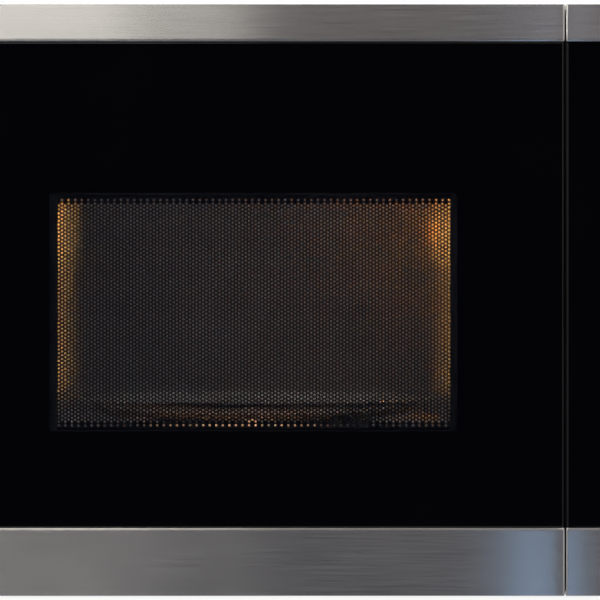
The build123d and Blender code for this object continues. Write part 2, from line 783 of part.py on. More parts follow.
def release_lever():
    left = latch_x - 12
    hub = rod((left + 2.4 + part_gap, lever_y, lever_z), (1, 0, 0), 3.4, lever_arm_x + 4.5 - left - 2.4 - 2 * part_gap)
    trunnion = rod((left + 0.4, lever_y, lever_z), (1, 0, 0), 2, lever_arm_x + 6.1 - left)
    finger_x = (latch_x + seat_gap, latch_x + seat_gap + finger_width)
    finger = block(finger_x, (lever_y, lever_y + lever_finger), about(lever_z, 2 * lever_tip_radius))
    finger += rod((finger_x[0], lever_y + lever_finger, lever_z), (1, 0, 0), lever_tip_radius, finger_width)
    # the arm is set back, so that only its round tip meets the button's rod as it turns
    arm = block(about(lever_arm_x, 5), (lever_y - 0.5, lever_y + 2), (lever_z - lever_arm, lever_z))
    arm += rod((lever_arm_x - 2.5, lever_y, rod_z), (1, 0, 0), 2, 5)
    return hub + trunnion + finger + arm


def micro_switch(x, z):
    y = (switch_front, switch_front + 16)
    case = block((x, x + 10), y, about(z, 28))
    case = fillet(case.edges().filter_by(Axis.X), 1)
    plunger = rod((x + 5, y[0] - 1.0, z), (0, 1, 0), 1.5, 2)
    blades = [block(about(x + 5, 0.8), (y[1] - 1, y[1] + 7), about(z + step, 4)) for step in (-9, 0, 9)]
    return case + plunger + blades[0] + blades[1] + blades[2]


def micro_switches():
    middle = hook_height / 2
    beside = web_x - 10
    return joined([
        micro_switch(beside, upper_hook + middle - 2),
        micro_switch(beside, lower_hook + middle),
        micro_switch(web_x + 2, upper_hook + middle - 2),
    ])


# Control panel

control_mid = control_x + control_width / 2
board_y = face_y + 15.0
board_sheet = 1.6
key_hole_gap = 0.4
frame_gap = 0.3
shaft_hole_radius = 6.0


def key_places():
    # name, x and z of each key
    names = {("upper", -1): "key_power", ("upper", 1): "key_defrost",
             ("lower", -1): "key_stop", ("lower", 1): "key_start"}
    for (row, side), name in names.items():
        yield name, control_mid + side * key_column, key_rows[row]


def control_frame():
    inset = strip_sheet + seat_gap
    high = front_high - inset
    middle = block((control_x + seat_gap, right_x - seat_gap), (frame_y, plate_front), (glass_low + 0.5, glass_high))
    core = block((control_x + inset, right_x - inset), (frame_y, plate_front), (glass_low + 1.5, high))
    shell = middle + core
    low_core = block((control_x + seat_gap, right_x - seat_gap), (face_y + button_depth + press_travel + part_gap, plate_front),
                     (front_low + seat_gap, glass_low + 4))
    shell += low_core
    hollow = block((control_x + inset + frame_wall, right_x - inset - frame_wall),
                   (frame_y + frame_wall, plate_front + 1), (glass_low + 1.5 + frame_wall, high - frame_wall))
    low_hollow = block((control_x + inset + frame_wall, right_x - inset - frame_wall), (frame_y, plate_front + 1),
                       (front_low + seat_gap + frame_wall, glass_low + 1.4))
    shell = shell - hollow - low_hollow
    for _, x, z in key_places():
        shell -= stadium(x, z, (frame_y - 1, frame_y + frame_wall + 1), key_length + 2 * key_hole_gap,
                         key_width + 2 * key_hole_gap)
    shell -= block(about(control_mid, display_size[0] + 1), (frame_y - 1, frame_y + frame_wall + 1),
                   about(display_height, display_size[1] + 1))
    shell -= rod((control_mid, frame_y - 1, knob_height), (0, 1, 0), shaft_hole_radius, frame_wall + 2)
    for x in (control_mid - 62, control_mid + 62):
        for z in (display_height + 22, knob_height - 90):
            shell += rod((x, frame_y + 1, z), (0, 1, 0), 3, board_y - frame_y - 1)
    return shell


def control_glass():
    pane = block((control_x + 0.6, right_x - 0.6), (glass_y, frame_y), (glass_low + glass_gap, glass_high - glass_gap))
    front = pane.faces().sort_by(Axis.Y)[0].edges()
    pane = chamfer(front, glass_chamfer)
    for _, x, z in key_places():
        pane -= stadium(x, z, (glass_y - 1, frame_y + 1), key_length + 2 * key_hole_gap, key_width + 2 * key_hole_gap)
    return pane - rod((control_mid, glass_y - 1, knob_height), (0, 1, 0), shaft_hole_radius, glass_thickness + 2)


def strip(x, z, depth, glass_side):
    # folded steel strip, open at the back: its glass side has only a short rolled lip
    outside = block(x, (face_y, face_y + depth), z)
    front = outside.faces().sort_by(Axis.Y)[0].edges()
    sides = outside.edges().filter_by(Axis.Y)
    outside = fillet(front + sides, strip_edge_radius)
    inner_x = (x[0] + strip_sheet, x[1] - strip_sheet)
    inner_z = (z[0] + strip_sheet, z[1] - strip_sheet)
    inside = block(inner_x, (face_y + strip_sheet, face_y + depth + 1), inner_z)
    corners = inside.faces().sort_by(Axis.Y)[0].edges() + inside.edges().filter_by(Axis.Y)
    inside = fillet(corners, strip_edge_radius - strip_sheet)
    body = outside - inside
    lip_z = about(z[1] if glass_side > 0 else z[0], 2 * (strip_sheet + seat_gap))
    lip_end = frame_y - seat_gap
    notch = block((inner_x[0] + seat_gap, inner_x[1] - seat_gap), (lip_end, face_y + depth + 1), lip_z)
    if depth == strip_depth:
        notch = block((x[0] - 1, x[1] + 1), (lip_end, face_y + depth + 1), lip_z)
    return body - notch


def control_top_strip():
    return strip((control_x, right_x), (glass_high, front_high), strip_depth, -1)


def open_button_cap():
    return strip((control_x, right_x), (front_low, glass_low), button_depth, 1)


def open_button_carrier():
    front = face_y + strip_sheet
    inset = strip_sheet + seat_gap
    x = (control_x + inset + 1, right_x - inset - 1)
    z = (front_low + inset + 1, glass_low - inset - 1)
    body = block(x, (front, front + 2.4), z)
    for i in range(7):
        rib = x[0] + 6 + i * (x[1] - x[0] - 12) / 6
        body += block(about(rib, 1.6), (front + 2, face_y + button_depth - 1), (z[0] + 2, z[1] - 2))
    body += block(x, (front + 2, face_y + button_depth - 1), about(guide_pin_z, 2))
    for pin_x in guide_pin_x:
        body += rod((pin_x, front + 1, guide_pin_z), (0, 1, 0), pin_guide_radius, cabinet_y + 12 - front - 1)
    body += block(about(lever_arm_x, rod_size), (front + 1, lever_y - 2 - part_gap), about(rod_z, rod_size))
    return body


def key(x, z):
    front = glass_y - key_proud
    cap = stadium(x, z, (front, frame_y + frame_wall + 0.6), key_length, key_width)
    cap = fillet(cap.faces().sort_by(Axis.Y)[0].edges(), 0.8)
    collar = stadium(x, z, (frame_y + frame_wall + part_gap, frame_y + frame_wall + part_gap + 1.2),
                     key_length + 4, key_width + 4)
    stem = block(about(x, 6), (frame_y + frame_wall, board_y - 2.2 - key_travel - part_gap), about(z, 5))
    return cap + collar + stem


def control_board():
    board = block((control_mid - 68, control_mid + 68), (board_y, board_y + board_sheet),
                  (knob_height - 96, display_height + 28))
    for _, x, z in key_places():
        board += block(about(x, 6), (board_y - 2.2, board_y + 0.2), about(z, 6))
    board += block(about(control_mid, 16), (board_y + 1, board_y + 3.6), about(knob_height + 36, 16))
    board += block(about(control_mid - 40, 30), (board_y + 1, board_y + 4), about(knob_height - 60, 8))
    return board


def display_module():
    back = frame_y + 5
    body = block(about(control_mid, display_size[0]), (frame_y, back), about(display_height, display_size[1]))
    for side in (-1, 1):
        body += block(about(control_mid, display_size[0] - 20), (back - 1, board_y),
                      about(display_height + side * 8, 1.4))
    return body


encoder_back = board_y


def encoder():
    case = block(about(control_mid, 13), (encoder_back - 6, encoder_back), about(knob_height, 13))
    bush = rod((control_mid, frame_y + 0.4, knob_height), (0, 1, 0), 4.5, encoder_back - 6 - frame_y)
    bore = rod((control_mid, frame_y - 1, knob_height), (0, 1, 0), 3 + running_gap, encoder_back - frame_y)
    return case + bush - bore


def selector_shaft():
    start = face_y - knob_reach + 4
    return rod((control_mid, start, knob_height), (0, 1, 0), 3, encoder_back - 1.5 - start)


def selector_knob():
    base = glass_y - 0.6
    front = face_y - knob_reach
    depth = base - front
    outline = Polyline((0, 0), (knob_radius - 1.5, 0), (knob_radius, 1.5), (knob_radius - 0.8, depth - 2.5),
                       (knob_radius - 0.2, depth), (0, depth), (0, 0))
    knob = revolve(Plane.XY * make_face(outline), Axis.Y)
    knob = Pos(control_mid, front, knob_height) * knob
    hollow = tube((control_mid, base - 7, knob_height), (0, 1, 0), knob_radius - 4, 8, 8)
    bore = rod((control_mid, front + 4, knob_height), (0, 1, 0), 3 + running_gap, depth)
    pointer = block(about(control_mid, 1.6), (front - 1, front + 0.5), (knob_height + 9, knob_height + knob_radius - 3))
    return knob - hollow - bore - pointer


# Door

def door_glass():
    pane = block((left_x + 0.6, door_right - 0.6), (glass_y, frame_y), (glass_low + glass_gap, glass_high - glass_gap))
    return chamfer(pane.faces().sort_by(Axis.Y)[0].edges(), glass_chamfer)


def hinge_clearance(level):
    # the arm of a hinge bracket needs this much of the door's corner at every angle of the door
    gap = 1.0
    return block((left_x - 1, hinge_x + hinge_arm_half + gap), (frame_y, door_back + 1),
                 (level - gap, level + hinge_arm + gap))


boss_radius = 4.4


def door_frame():
    inset = strip_sheet + seat_gap
    middle = block((left_x + seat_gap, door_right - seat_gap), (frame_y, frame_back), (glass_low, glass_high))
    core = block((left_x + inset, door_right - inset), (frame_y, frame_back), (front_low + inset, front_high - inset))
    hollow = block((left_x + inset + frame_wall, door_right - inset - frame_wall), (frame_y + frame_wall, frame_back + 1),
                   (front_low + inset + frame_wall, front_high - inset - frame_wall))
    shell = middle + core - hollow
    shell -= block(about(window_x, window_width + 12), (frame_y - 1, frame_back + 1), about(window_z, window_height + 12))
    zones = ((front_low + 3, choke_low - 3), (choke_high + 3, front_high - 3))
    for low, high in zones:
        count = 9
        for i in range(count):
            x = left_x + 32 + i * (latch_x - 14 - left_x - 32) / (count - 1)
            shell += block(about(x, 1.8), (frame_y + 1, frame_back - 0.4), (low, high))
    for side in (-1, 1):
        wall_x = latch_x + side * 6.8
        shell += block(about(wall_x, 1.6), (frame_y + 1, frame_back - 0.4), (lower_hook + 20, upper_hook - 12))
    levels = hinge_arm_levels()
    for level, upward in zip(levels, (1, -1)):
        face = level + hinge_arm + 1 if upward > 0 else level - 1
        shell += rod((hinge_x, hinge_y, face), (0, 0, upward), boss_radius, 14)
    for level, upward in zip(levels, (1, -1)):
        shell -= hinge_clearance(level)
        start = level if upward > 0 else level + hinge_arm
        shell -= rod((hinge_x, hinge_y, start), (0, 0, upward), hinge_pin_radius + running_gap, pin_length + hinge_arm + 1)
    return shell


def door_strip(top):
    z = (glass_high, front_high) if top else (front_low, glass_low)
    return strip((left_x, door_right), z, strip_depth, -1 if top else 1)


def rf_screen():
    # pressed sheet: a raised field close to the glass and a flange on the choke ring
    field = (window_width + 4, window_height + 4)
    front = frame_y + 0.4
    back = face_y + choke_front
    outside = block(about(window_x, field[0] + 14), (back - screen_sheet, back), about(window_z, field[1] + 14))
    pan = block(about(window_x, field[0]), (front, back), about(window_z, field[1]))
    pan = fillet(pan.edges().filter_by(Axis.Y), 6)
    cut = block(about(window_x, field[0] - 2 * screen_sheet), (front + screen_sheet, back + 1),
                about(window_z, field[1] - 2 * screen_sheet))
    cut = fillet(cut.edges().filter_by(Axis.Y), 6 - screen_sheet)
    return outside + pan - cut


def choke_ring():
    y = (face_y + choke_front, face_y + choke_rear)
    sheet = choke_sheet
    outside = rounded_plate((choke_left, choke_right), y, (choke_low, choke_high), 6)
    channel = rounded_plate((choke_left + sheet, choke_right - sheet), (y[0] + sheet, y[1] - sheet),
                            (choke_low + sheet, choke_high - sheet), 5)
    island = block(about(window_x, window_width + 16), (y[0] - 1, y[1] + 1), about(window_z, window_height + 16))
    body = outside - channel
    mouth = rounded_plate((choke_left + choke_lip, choke_right - choke_lip), (y[1] - 2 * sheet, y[1] + 1),
                          (choke_low + choke_lip, choke_high - choke_lip), 4)
    body -= mouth
    body += island & outside
    opening = block(about(window_x, window_width + 16 - 2 * sheet), (y[0] - 2, y[1] + 2),
                    about(window_z, window_height + 16 - 2 * sheet))
    body -= opening
    slots = []
    across = int((choke_right - choke_left - 24) // fin_pitch)
    up = int((choke_high - choke_low - 24) // fin_pitch)
    for i in range(across + 1):
        x = (choke_left + choke_right) / 2 + (i - across / 2) * fin_pitch
        for z in (choke_low, choke_high):
            slots.append(block(about(x, fin_slot), (y[0] + 3, y[1] + 1), about(z, 2 * choke_lip + 2)))
    for k in range(up + 1):
        z = (choke_low + choke_high) / 2 + (k - up / 2) * fin_pitch
        for x in (choke_left, choke_right):
            slots.append(block(about(x, 2 * choke_lip + 2), (y[0] + 3, y[1] + 1), about(z, fin_slot)))
    return body - slots


def choke_cover():
    y = (face_y + choke_rear, face_y + choke_rear + cover_plastic)
    body = rounded_plate((choke_left - 1.2, choke_right + 1.2), y, (choke_low - 1.2, choke_high + 1.2), 7)
    skirt = rounded_plate((choke_left - 1.2, choke_right + 1.2), (door_back, y[1]), (choke_low - 1.2, choke_high + 1.2), 7)
    skirt -= rounded_plate((choke_left - seat_gap, choke_right + seat_gap), (door_back - 1, y[1] + 1),
                           (choke_low - seat_gap, choke_high + seat_gap), 6)
    opening = rounded_plate(about(window_x, window_width + 4), (y[0] - 1, y[1] + 1), about(window_z, window_height + 4), 5)
    return body + skirt - opening


def inner_window():
    y = (face_y + choke_rear - inner_window_thickness, face_y + choke_rear)
    size = (window_width + 16 - 2 * choke_sheet - 2 * part_gap, window_height + 16 - 2 * choke_sheet - 2 * part_gap)
    return rounded_plate(about(window_x, size[0]), y, about(window_z, size[1]), 3)


def door_back_plate():
    sheet = rounded_plate((left_x + 0.4, door_right - 0.4), (frame_back, door_back), (front_low + 0.4, front_high - 0.4), 2)
    sheet -= rounded_plate((choke_left - seat_gap, choke_right + seat_gap), (frame_back - 1, door_back + 1),
                           (choke_low - seat_gap, choke_high + seat_gap), 6)
    for z in (lower_hook, upper_hook):
        low = z - 0.8
        high = z + hook_height + lift_travel + 0.8
        sheet -= block(about(latch_x, hook_thickness + 1.6), (frame_back - 1, door_back + 1), (low, high))
    for level in hinge_arm_levels():
        sheet -= hinge_clearance(level)
    return sheet


def latch_bar():
    y = (frame_back - 6, frame_back - part_gap)
    low = lower_hook - 1
    high = upper_hook + hook_height + 1
    bar = block(about(latch_x, 11), y, (low, high))
    hollow = block(about(latch_x, 7.4), (y[0] - 1, y[1] - 2), (low + hook_height + 4, high - hook_height - 4))
    bar -= hollow
    for z in (lower_hook, upper_hook):
        tip = cabinet_y + hook_reach
        outline = Polyline(
            (y[0] + 1, z), (tip - nose_length, z), (tip - nose_length, z - nose_depth), (tip - 3, z - nose_depth),
            (tip, z - 1), (tip, z + hook_height - 2), (tip - 2, z + hook_height), (y[0] + 1, z + hook_height),
            (y[0] + 1, z),
        )
        arm = extrude(Plane.YZ * make_face(outline), hook_thickness)
        bar += Pos(latch_x - hook_thickness / 2, 0, 0) * arm
    return bar


def main():
    os.makedirs("parts", exist_ok=True)
    pieces = {
        "cavity": cavity, "front_plate": front_plate, "outer_cover": outer_cover, "base_plate": base_plate,
        "rear_panel": rear_panel, "feet": feet, "mains_gland": mains_gland, "cover_screws": cover_screws,
        "hinge_brackets": hinge_brackets, "waveguide": waveguide, "waveguide_cover": waveguide_cover,
        "magnetron_yoke": magnetron_yoke, "magnetron_anode": magnetron_anode,
        "magnetron_filter_box": magnetron_filter_box, "transformer_core": transformer_core,
        "transformer_windings": transformer_windings, "capacitor": capacitor, "capacitor_clamp": capacitor_clamp,
        "fan_shroud": fan_shroud, "fan_motor": fan_motor, "fan_impeller": fan_impeller,
        "lamp_socket": lamp_socket, "lamp_bulb": lamp_bulb, "filter_board": filter_board,
        "thermal_cutouts": thermal_cutouts, "turntable_motor": turntable_motor,
        "turntable_coupler": turntable_coupler, "turntable_plate": turntable_plate, "roller_ring": roller_ring,
        "interlock_bracket": interlock_bracket, "release_lever": release_lever, "micro_switches": micro_switches,
        "control_frame": control_frame, "control_glass": control_glass, "control_top_strip": control_top_strip,
        "control_board": control_board, "display_module": display_module, "encoder": encoder,
        "selector_shaft": selector_shaft, "selector_knob": selector_knob, "open_button_cap": open_button_cap,
        "open_button_carrier": open_button_carrier, "door_glass": door_glass, "door_frame": door_frame,
        "rf_screen": rf_screen, "choke_ring": choke_ring, "choke_cover": choke_cover,
        "inner_window": inner_window, "door_back_plate": door_back_plate, "latch_bar": latch_bar,
    }
    for name, make in pieces.items():
        write(name, make())
    write("door_top_strip", door_strip(True))
    write("door_bottom_strip", door_strip(False))
    for turn in range(3):
        write(f"roller_{turn + 1}", roller(turn))
    for name, x, z in key_places():
        write(name, key(x, z))
    print("press turns the lever", round(press_angle, 2), "degrees")


main()
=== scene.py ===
import json
from math import cos, pi, radians, sin, sqrt

import bmesh
import bpy
import numpy as np
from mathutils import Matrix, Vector

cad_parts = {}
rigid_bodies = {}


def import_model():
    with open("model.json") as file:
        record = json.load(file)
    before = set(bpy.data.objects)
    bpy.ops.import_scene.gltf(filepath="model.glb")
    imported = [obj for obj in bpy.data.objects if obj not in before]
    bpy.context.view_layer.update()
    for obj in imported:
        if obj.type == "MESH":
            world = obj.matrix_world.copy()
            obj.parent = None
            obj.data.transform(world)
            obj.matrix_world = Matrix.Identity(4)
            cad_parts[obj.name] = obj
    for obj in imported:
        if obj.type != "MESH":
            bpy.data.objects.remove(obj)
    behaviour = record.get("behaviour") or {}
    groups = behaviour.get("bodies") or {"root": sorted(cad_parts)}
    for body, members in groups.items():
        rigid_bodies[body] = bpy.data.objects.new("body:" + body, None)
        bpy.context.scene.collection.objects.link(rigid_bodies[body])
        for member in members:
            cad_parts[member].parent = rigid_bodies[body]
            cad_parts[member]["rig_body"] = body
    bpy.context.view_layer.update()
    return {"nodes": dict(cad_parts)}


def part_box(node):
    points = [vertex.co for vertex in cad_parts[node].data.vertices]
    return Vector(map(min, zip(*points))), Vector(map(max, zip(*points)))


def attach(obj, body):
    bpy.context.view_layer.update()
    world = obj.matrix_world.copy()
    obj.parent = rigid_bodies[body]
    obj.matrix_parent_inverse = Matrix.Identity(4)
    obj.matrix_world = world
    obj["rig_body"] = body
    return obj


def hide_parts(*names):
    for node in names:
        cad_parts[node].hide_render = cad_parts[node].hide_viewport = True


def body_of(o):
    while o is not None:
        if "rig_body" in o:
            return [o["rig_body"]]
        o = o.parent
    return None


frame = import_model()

mm = 0.001


def ends(node):
    # lowest and highest corner of a node as arrays, in metres
    low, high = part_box(node)
    return np.array(low), np.array(high)


def bodyOf(node):
    return body_of(frame["nodes"][node])[0]


# Colours, nodes and materials

def linear(colour):
    # sRGB hex to the linear values that the sockets take
    channels = np.array([int(colour[i:i + 2], 16) for i in (1, 3, 5)]) / 255
    bent = np.where(channels <= 0.04045, channels / 12.92, ((channels + 0.055) / 1.055) ** 2.4)
    return (*bent.tolist(), 1.0)


def addNode(tree, kind, settings=None, links=None):
    # a node with its settings, and with other nodes' outputs led into its sockets; a colour Mix takes its two
    # colours at 6 and 7, its share at 0, and gives the result at 2
    node = tree.nodes.new("ShaderNode" + kind)
    for key, value in (settings or {}).items():
        if isinstance(key, str) and hasattr(node, key):
            setattr(node, key, value)
        else:
            node.inputs[key].default_value = value
    for key, source in (links or {}).items():
        tree.links.new(source, node.inputs[key])
    return node


def startMaterial(name, settings):
    # a new material, its tree, and the place of a point in metres
    material = bpy.data.materials.new(name)
    material.use_nodes = True
    tree = material.node_tree
    for key, value in settings.items():
        tree.nodes["Principled BSDF"].inputs[key].default_value = value
    return material, tree, addNode(tree, "TexCoord").outputs["Object"]


def coat(tree, dark, light, share, gloss, span, rough, height, depth, strength=1.0):
    # colour, gloss and height for the shader: the colour goes from dark to light by share, roughness from
    # rough[0] to rough[1] while gloss goes over span, and the height stands up by depth mm
    shader = tree.nodes["Principled BSDF"]
    shade = addNode(tree, "Mix", {"data_type": "RGBA", 6: linear(dark), 7: linear(light)}, {0: share})
    tree.links.new(shade.outputs[2], shader.inputs["Base Color"])
    even = addNode(tree, "MapRange", {"From Min": span[0], "From Max": span[1], "To Min": rough[0],
                                      "To Max": rough[1]}, {"Value": gloss})
    tree.links.new(even.outputs[0], shader.inputs["Roughness"])
    bump = addNode(tree, "Bump", {"Strength": strength, "Distance": depth * mm}, {"Height": height})
    tree.links.new(bump.outputs["Normal"], shader.inputs["Normal"])
    return shade


noiseSpan = (0.3, 0.7)  # most of a noise lies between these


def finish(name, light, dark, patch, rough, grain, depth, stretch=(1, 1, 1), **settings):
    # a finish whose colour drifts from dark to light over patches of patch mm, and whose gloss and height
    # change with a grain of grain mm that is depth mm deep; stretch squeezes both along each axis
    material, tree, place = startMaterial(name, settings)
    turned = addNode(tree, "Mapping", {"Scale": stretch}, {"Vector": place}).outputs["Vector"]
    drift = addNode(tree, "TexNoise", {"Scale": 1000 / patch, "Detail": 3.0}, {"Vector": turned})
    share = addNode(tree, "MapRange", {"From Min": noiseSpan[0], "From Max": noiseSpan[1]},
                    {"Value": drift.outputs["Fac"]})
    fine = addNode(tree, "TexNoise", {"Scale": 1000 / grain, "Detail": 2.0}, {"Vector": turned}).outputs["Fac"]
    coat(tree, dark, light, share.outputs[0], fine, noiseSpan, rough, fine, depth)
    return material


def brushed(name, look):
    # brushed stainless sheet: belt lines run across the front, so a light spreads up and down over it and stays
    # narrow from side to side; the UV map's first axis runs up the sheet and gives the shader that direction
    material, tree, place = startMaterial(name, look["shader"])
    lines = addNode(tree, "Mapping", {"Scale": [1 / size for size in look["line"]]},
                    {"Vector": place}).outputs["Vector"]
    streak = addNode(tree, "TexNoise", {"Scale": 1000.0, "Detail": 4.0, "Roughness": 0.6},
                     {"Vector": lines}).outputs["Fac"]
    share = addNode(tree, "MapRange", {"From Min": 0.25, "From Max": 0.75}, {"Value": streak})
    cloud = addNode(tree, "TexNoise", {"Scale": 1000 / look["cloud"], "Detail": 2.0}, {"Vector": place})
    both = addNode(tree, "Math", {"operation": "ADD"}, {0: share.outputs[0], 1: cloud.outputs["Fac"]})
    coat(tree, look["dark"], look["light"], share.outputs[0], both.outputs[0], (0.3, 1.7), look["rough"],
         streak, look["depth"])
    tangent = addNode(tree, "Tangent", {"direction_type": "UV_MAP", "uv_map": "grain"})
    tree.links.new(tangent.outputs[0], tree.nodes["Principled BSDF"].inputs["Tangent"])
    return material


def spangled(name, look):
    # hot-dip galvanised sheet: zinc crystals a few mm across, each a little lighter or duller than the next;
    # a noise moves their borders by up to bend mm
    material, tree, place = startMaterial(name, {"Metallic": 1.0})
    wave = addNode(tree, "TexNoise", {"Scale": 1000 / look["crystal"], "Detail": 2.0}, {"Vector": place})
    bent = addNode(tree, "VectorMath", {"operation": "MULTIPLY_ADD", 1: (look["bend"] * mm,) * 3},
                   {0: wave.outputs["Color"], 2: place})
    crystal = addNode(tree, "TexVoronoi", {"Scale": 1000 / look["crystal"]}, {"Vector": bent.outputs[0]})
    tone = addNode(tree, "SeparateColor", {}, {0: crystal.outputs["Color"]})
    coat(tree, look["dark"], look["light"], tone.outputs[0], tone.outputs[1], (0, 1), look["rough"],
         crystal.outputs["Distance"], look["depth"], look["strength"])
    return material


def speckled(name, look):
    # oven enamel, sprayed and fired: a glossy grey glass coat; of its cells, speck mm wide, those over the rare
    # share hold a light or dark speck with a radius of dot times the cell
    material, tree, place = startMaterial(name, look["shader"])
    specks = addNode(tree, "TexVoronoi", {"Scale": 1000 / look["speck"]}, {"Vector": place})
    tone = addNode(tree, "SeparateColor", {}, {0: specks.outputs["Color"]})
    small = addNode(tree, "Math", {"operation": "LESS_THAN", 1: look["dot"]}, {0: specks.outputs["Distance"]})
    some = addNode(tree, "Math", {"operation": "GREATER_THAN", 1: look["rare"]}, {0: tone.outputs[1]})
    share = addNode(tree, "Math", {"operation": "MULTIPLY"}, {0: small.outputs[0], 1: some.outputs[0]})
    speck = addNode(tree, "Mix", {"data_type": "RGBA", 6: linear(look["darkSpeck"]),
                                  7: linear(look["lightSpeck"])}, {0: tone.outputs[0]})
    peel = addNode(tree, "TexNoise", {"Scale": 1000 / look["peel"], "Detail": 1.0},
                   {"Vector": place}).outputs["Fac"]
    shade = coat(tree, look["ground"], look["lightSpeck"], share.outputs[0], peel, (0, 1), look["rough"], peel,
                 look["depth"], look["strength"])
    tree.links.new(speck.outputs[2], shade.inputs[7])
    return material


# crest: the height of the wave from which the painted highlight reaches the full light colour
layerLook = {"crest": 0.6, "ridge": 0.15, "strength": 0.7, "cloudsPerMetre": 90.0}


def layered(name, light, dark, pitch, axis, rough, metallic):
    # many thin layers on edge, such as stampings or turns of wire: sin(2 pi x / pitch) along an axis, raised by a
    # share of the pitch; the colour is a painted highlight, light over the crests, and painted shade, dark in the
    # grooves between the layers, where for stacked sheets the dark is partly their real joints
    material, tree, place = startMaterial(name, {"Metallic": metallic})
    apart = addNode(tree, "SeparateXYZ", {}, {0: place}).outputs["XYZ".index(axis)]
    phase = addNode(tree, "Math", {"operation": "MULTIPLY", 1: 2 * pi / (pitch * mm)}, {0: apart})
    wave = addNode(tree, "Math", {"operation": "SINE"}, {0: phase.outputs[0]}).outputs[0]
    # painted highlight and painted shade: the colour runs from dark in the wave's grooves to light towards its
    # crests
    share = addNode(tree, "MapRange", {"From Min": -1.0, "From Max": layerLook["crest"]}, {"Value": wave})
    cloud = addNode(tree, "TexNoise", {"Scale": layerLook["cloudsPerMetre"], "Detail": 3.0}, {"Vector": place})
    coat(tree, dark, light, share.outputs[0], cloud.outputs["Fac"], (0, 1), rough, wave,
         layerLook["ridge"] * pitch, layerLook["strength"])
    return material


steelLook = {"light": "#c9c7c4", "dark": "#b9b7b4", "line": (45.0, 0.35, 0.35), "cloud": 70.0,
             "rough": (0.18, 0.24), "depth": 0.0012, "shader": {"Metallic": 1.0, "Anisotropic": 1.0}}
enamelLook = {"ground": "#4a4948", "lightSpeck": "#85878a", "darkSpeck": "#2a2b2d", "speck": 1.6, "dot": 0.28,
              "rare": 0.72, "peel": 2.4, "rough": (0.21, 0.28), "depth": 0.012, "strength": 0.5,
              "shader": {"IOR": 1.6}}
zincLook = {"light": "#d2d4d5", "dark": "#bcc0c2", "crystal": 7.0, "bend": 2.45, "rough": (0.3, 0.5),
            "depth": 0.03, "strength": 0.4}

stainlessBrushed = brushed("stainlessSteelBrushed", steelLook)  # soft lines, a light drawn out upright
zincSheet = spangled("galvanisedSheetSpangled", zincLook)  # dull crystals, never an even grey
ovenEnamel = speckled("enamelGreySpeckled", enamelLook)  # half gloss, with specks
# black ceramic print behind float glass: deep even black under a sharp reflection
printedGlass = finish("floatGlassBlackPrinted", "#040405", "#020203", 60, (0.015, 0.03), 30, 0.0004, IOR=1.52)
# plain float glass, faintly grey, sharp reflections
clearGlass = finish("floatGlassClear", "#f1f4f3", "#e9eeed", 40, (0.0, 0.01), 25, 0.0003,
                    **{"IOR": 1.52, "Transmission Weight": 1.0})
# pressed soda-lime glass: slight waves left by the mould
pressedGlass = finish("sodaLimeGlassPressed", "#fbfdfc", "#f3f8f6", 25, (0.02, 0.08), 9, 0.02,
                      **{"IOR": 1.52, "Transmission Weight": 0.9})
# clear polyester sheet inside the door: a little softer than glass
clearSheet = finish("polyesterSheetClear", "#f4f4f1", "#ecece8", 30, (0.02, 0.06), 6, 0.002,
                    **{"IOR": 1.57, "Transmission Weight": 1.0})
# the lamp's thin blown glass: uneven, faintly warm
blownGlass = finish("lampGlassBlown", "#fbf6ec", "#f3ecdd", 8, (0.02, 0.06), 4, 0.004,
                    **{"IOR": 1.5, "Transmission Weight": 1.0})
# black stoved enamel on the pressed screen: nearly no gloss, so the webs between the holes stay dark
screenEnamel = finish("stovedEnamelBlack", "#0a0c10", "#07080b", 18, (0.3, 0.42), 1.2, 0.004,
                      **{"IOR": 1.45, "Specular IOR Level": 0.12})
# dark powder coat on the door's sheets: fine orange peel
doorCoat = finish("powderCoatDarkGrey", "#3b3c3f", "#323336", 35, (0.38, 0.5), 1.6, 0.02, IOR=1.5)
# ABS, moulded against an eroded steel: fine matt grain
absBlack = finish("absBlackEroded", "#17181a", "#101113", 22, (0.36, 0.48), 0.7, 0.012, IOR=1.53)
absGrey = finish("absGreyMoulded", "#6d7073", "#5f6265", 26, (0.38, 0.5), 0.8, 0.01, IOR=1.53)
# acetal: off-white, and light goes a little way into it
acetalWhite = finish("acetalWhiteMoulded", "#e6e3da", "#d9d5ca", 14, (0.32, 0.44), 1.1, 0.006,
                     **{"IOR": 1.48, "Subsurface Weight": 0.08})
# rubber feet: matt black with a chalky bloom
rubberBlack = finish("nitrileRubberMoulded", "#1d1c1b", "#131211", 7, (0.7, 0.85), 0.6, 0.02, IOR=1.52)
# edges of stampings, and turns of wire under varnish, with painted highlights on their crests and painted shade
# between them
coreSheet = layered("transformerSheetStacked", "#5c6066", "#2b2d31", 1.0, "Y", (0.42, 0.6), 0.9)
copperWire = layered("copperWireEnamelled", "#b5622f", "#5f2a12", 1.3, "Z", (0.25, 0.4), 1.0)
# aluminium, drawn or stamped: bright, a little cloudy
aluminiumDrawn = finish("aluminiumDrawn", "#d3d5d7", "#b9bcbf", 15, (0.26, 0.4), 0.9, 0.006, (1, 1, 0.2),
                        Metallic=1.0)
# steel with bright zinc or nickel on it: small fittings
steelPlated = finish("steelBrightPlated", "#cbcac3", "#b3b2aa", 9, (0.2, 0.34), 1.0, 0.004, Metallic=1.0)
# pressed mica: pale brown flakes; circuit boards: green mask and plain paper board
micaSheet = finish("micaSheetPressed", "#b9ad97", "#94866c", 5, (0.3, 0.5), 2.2, 0.03, (1, 1, 0.5), IOR=1.58)
boardGreen = finish("epoxyBoardSolderMask", "#1f5b36", "#174a2b", 12, (0.25, 0.4), 2.0, 0.02, IOR=1.55)
boardBrown = finish("paperBoardPlain", "#8d6a3f", "#7a5a33", 12, (0.45, 0.6), 1.4, 0.01, IOR=1.5)
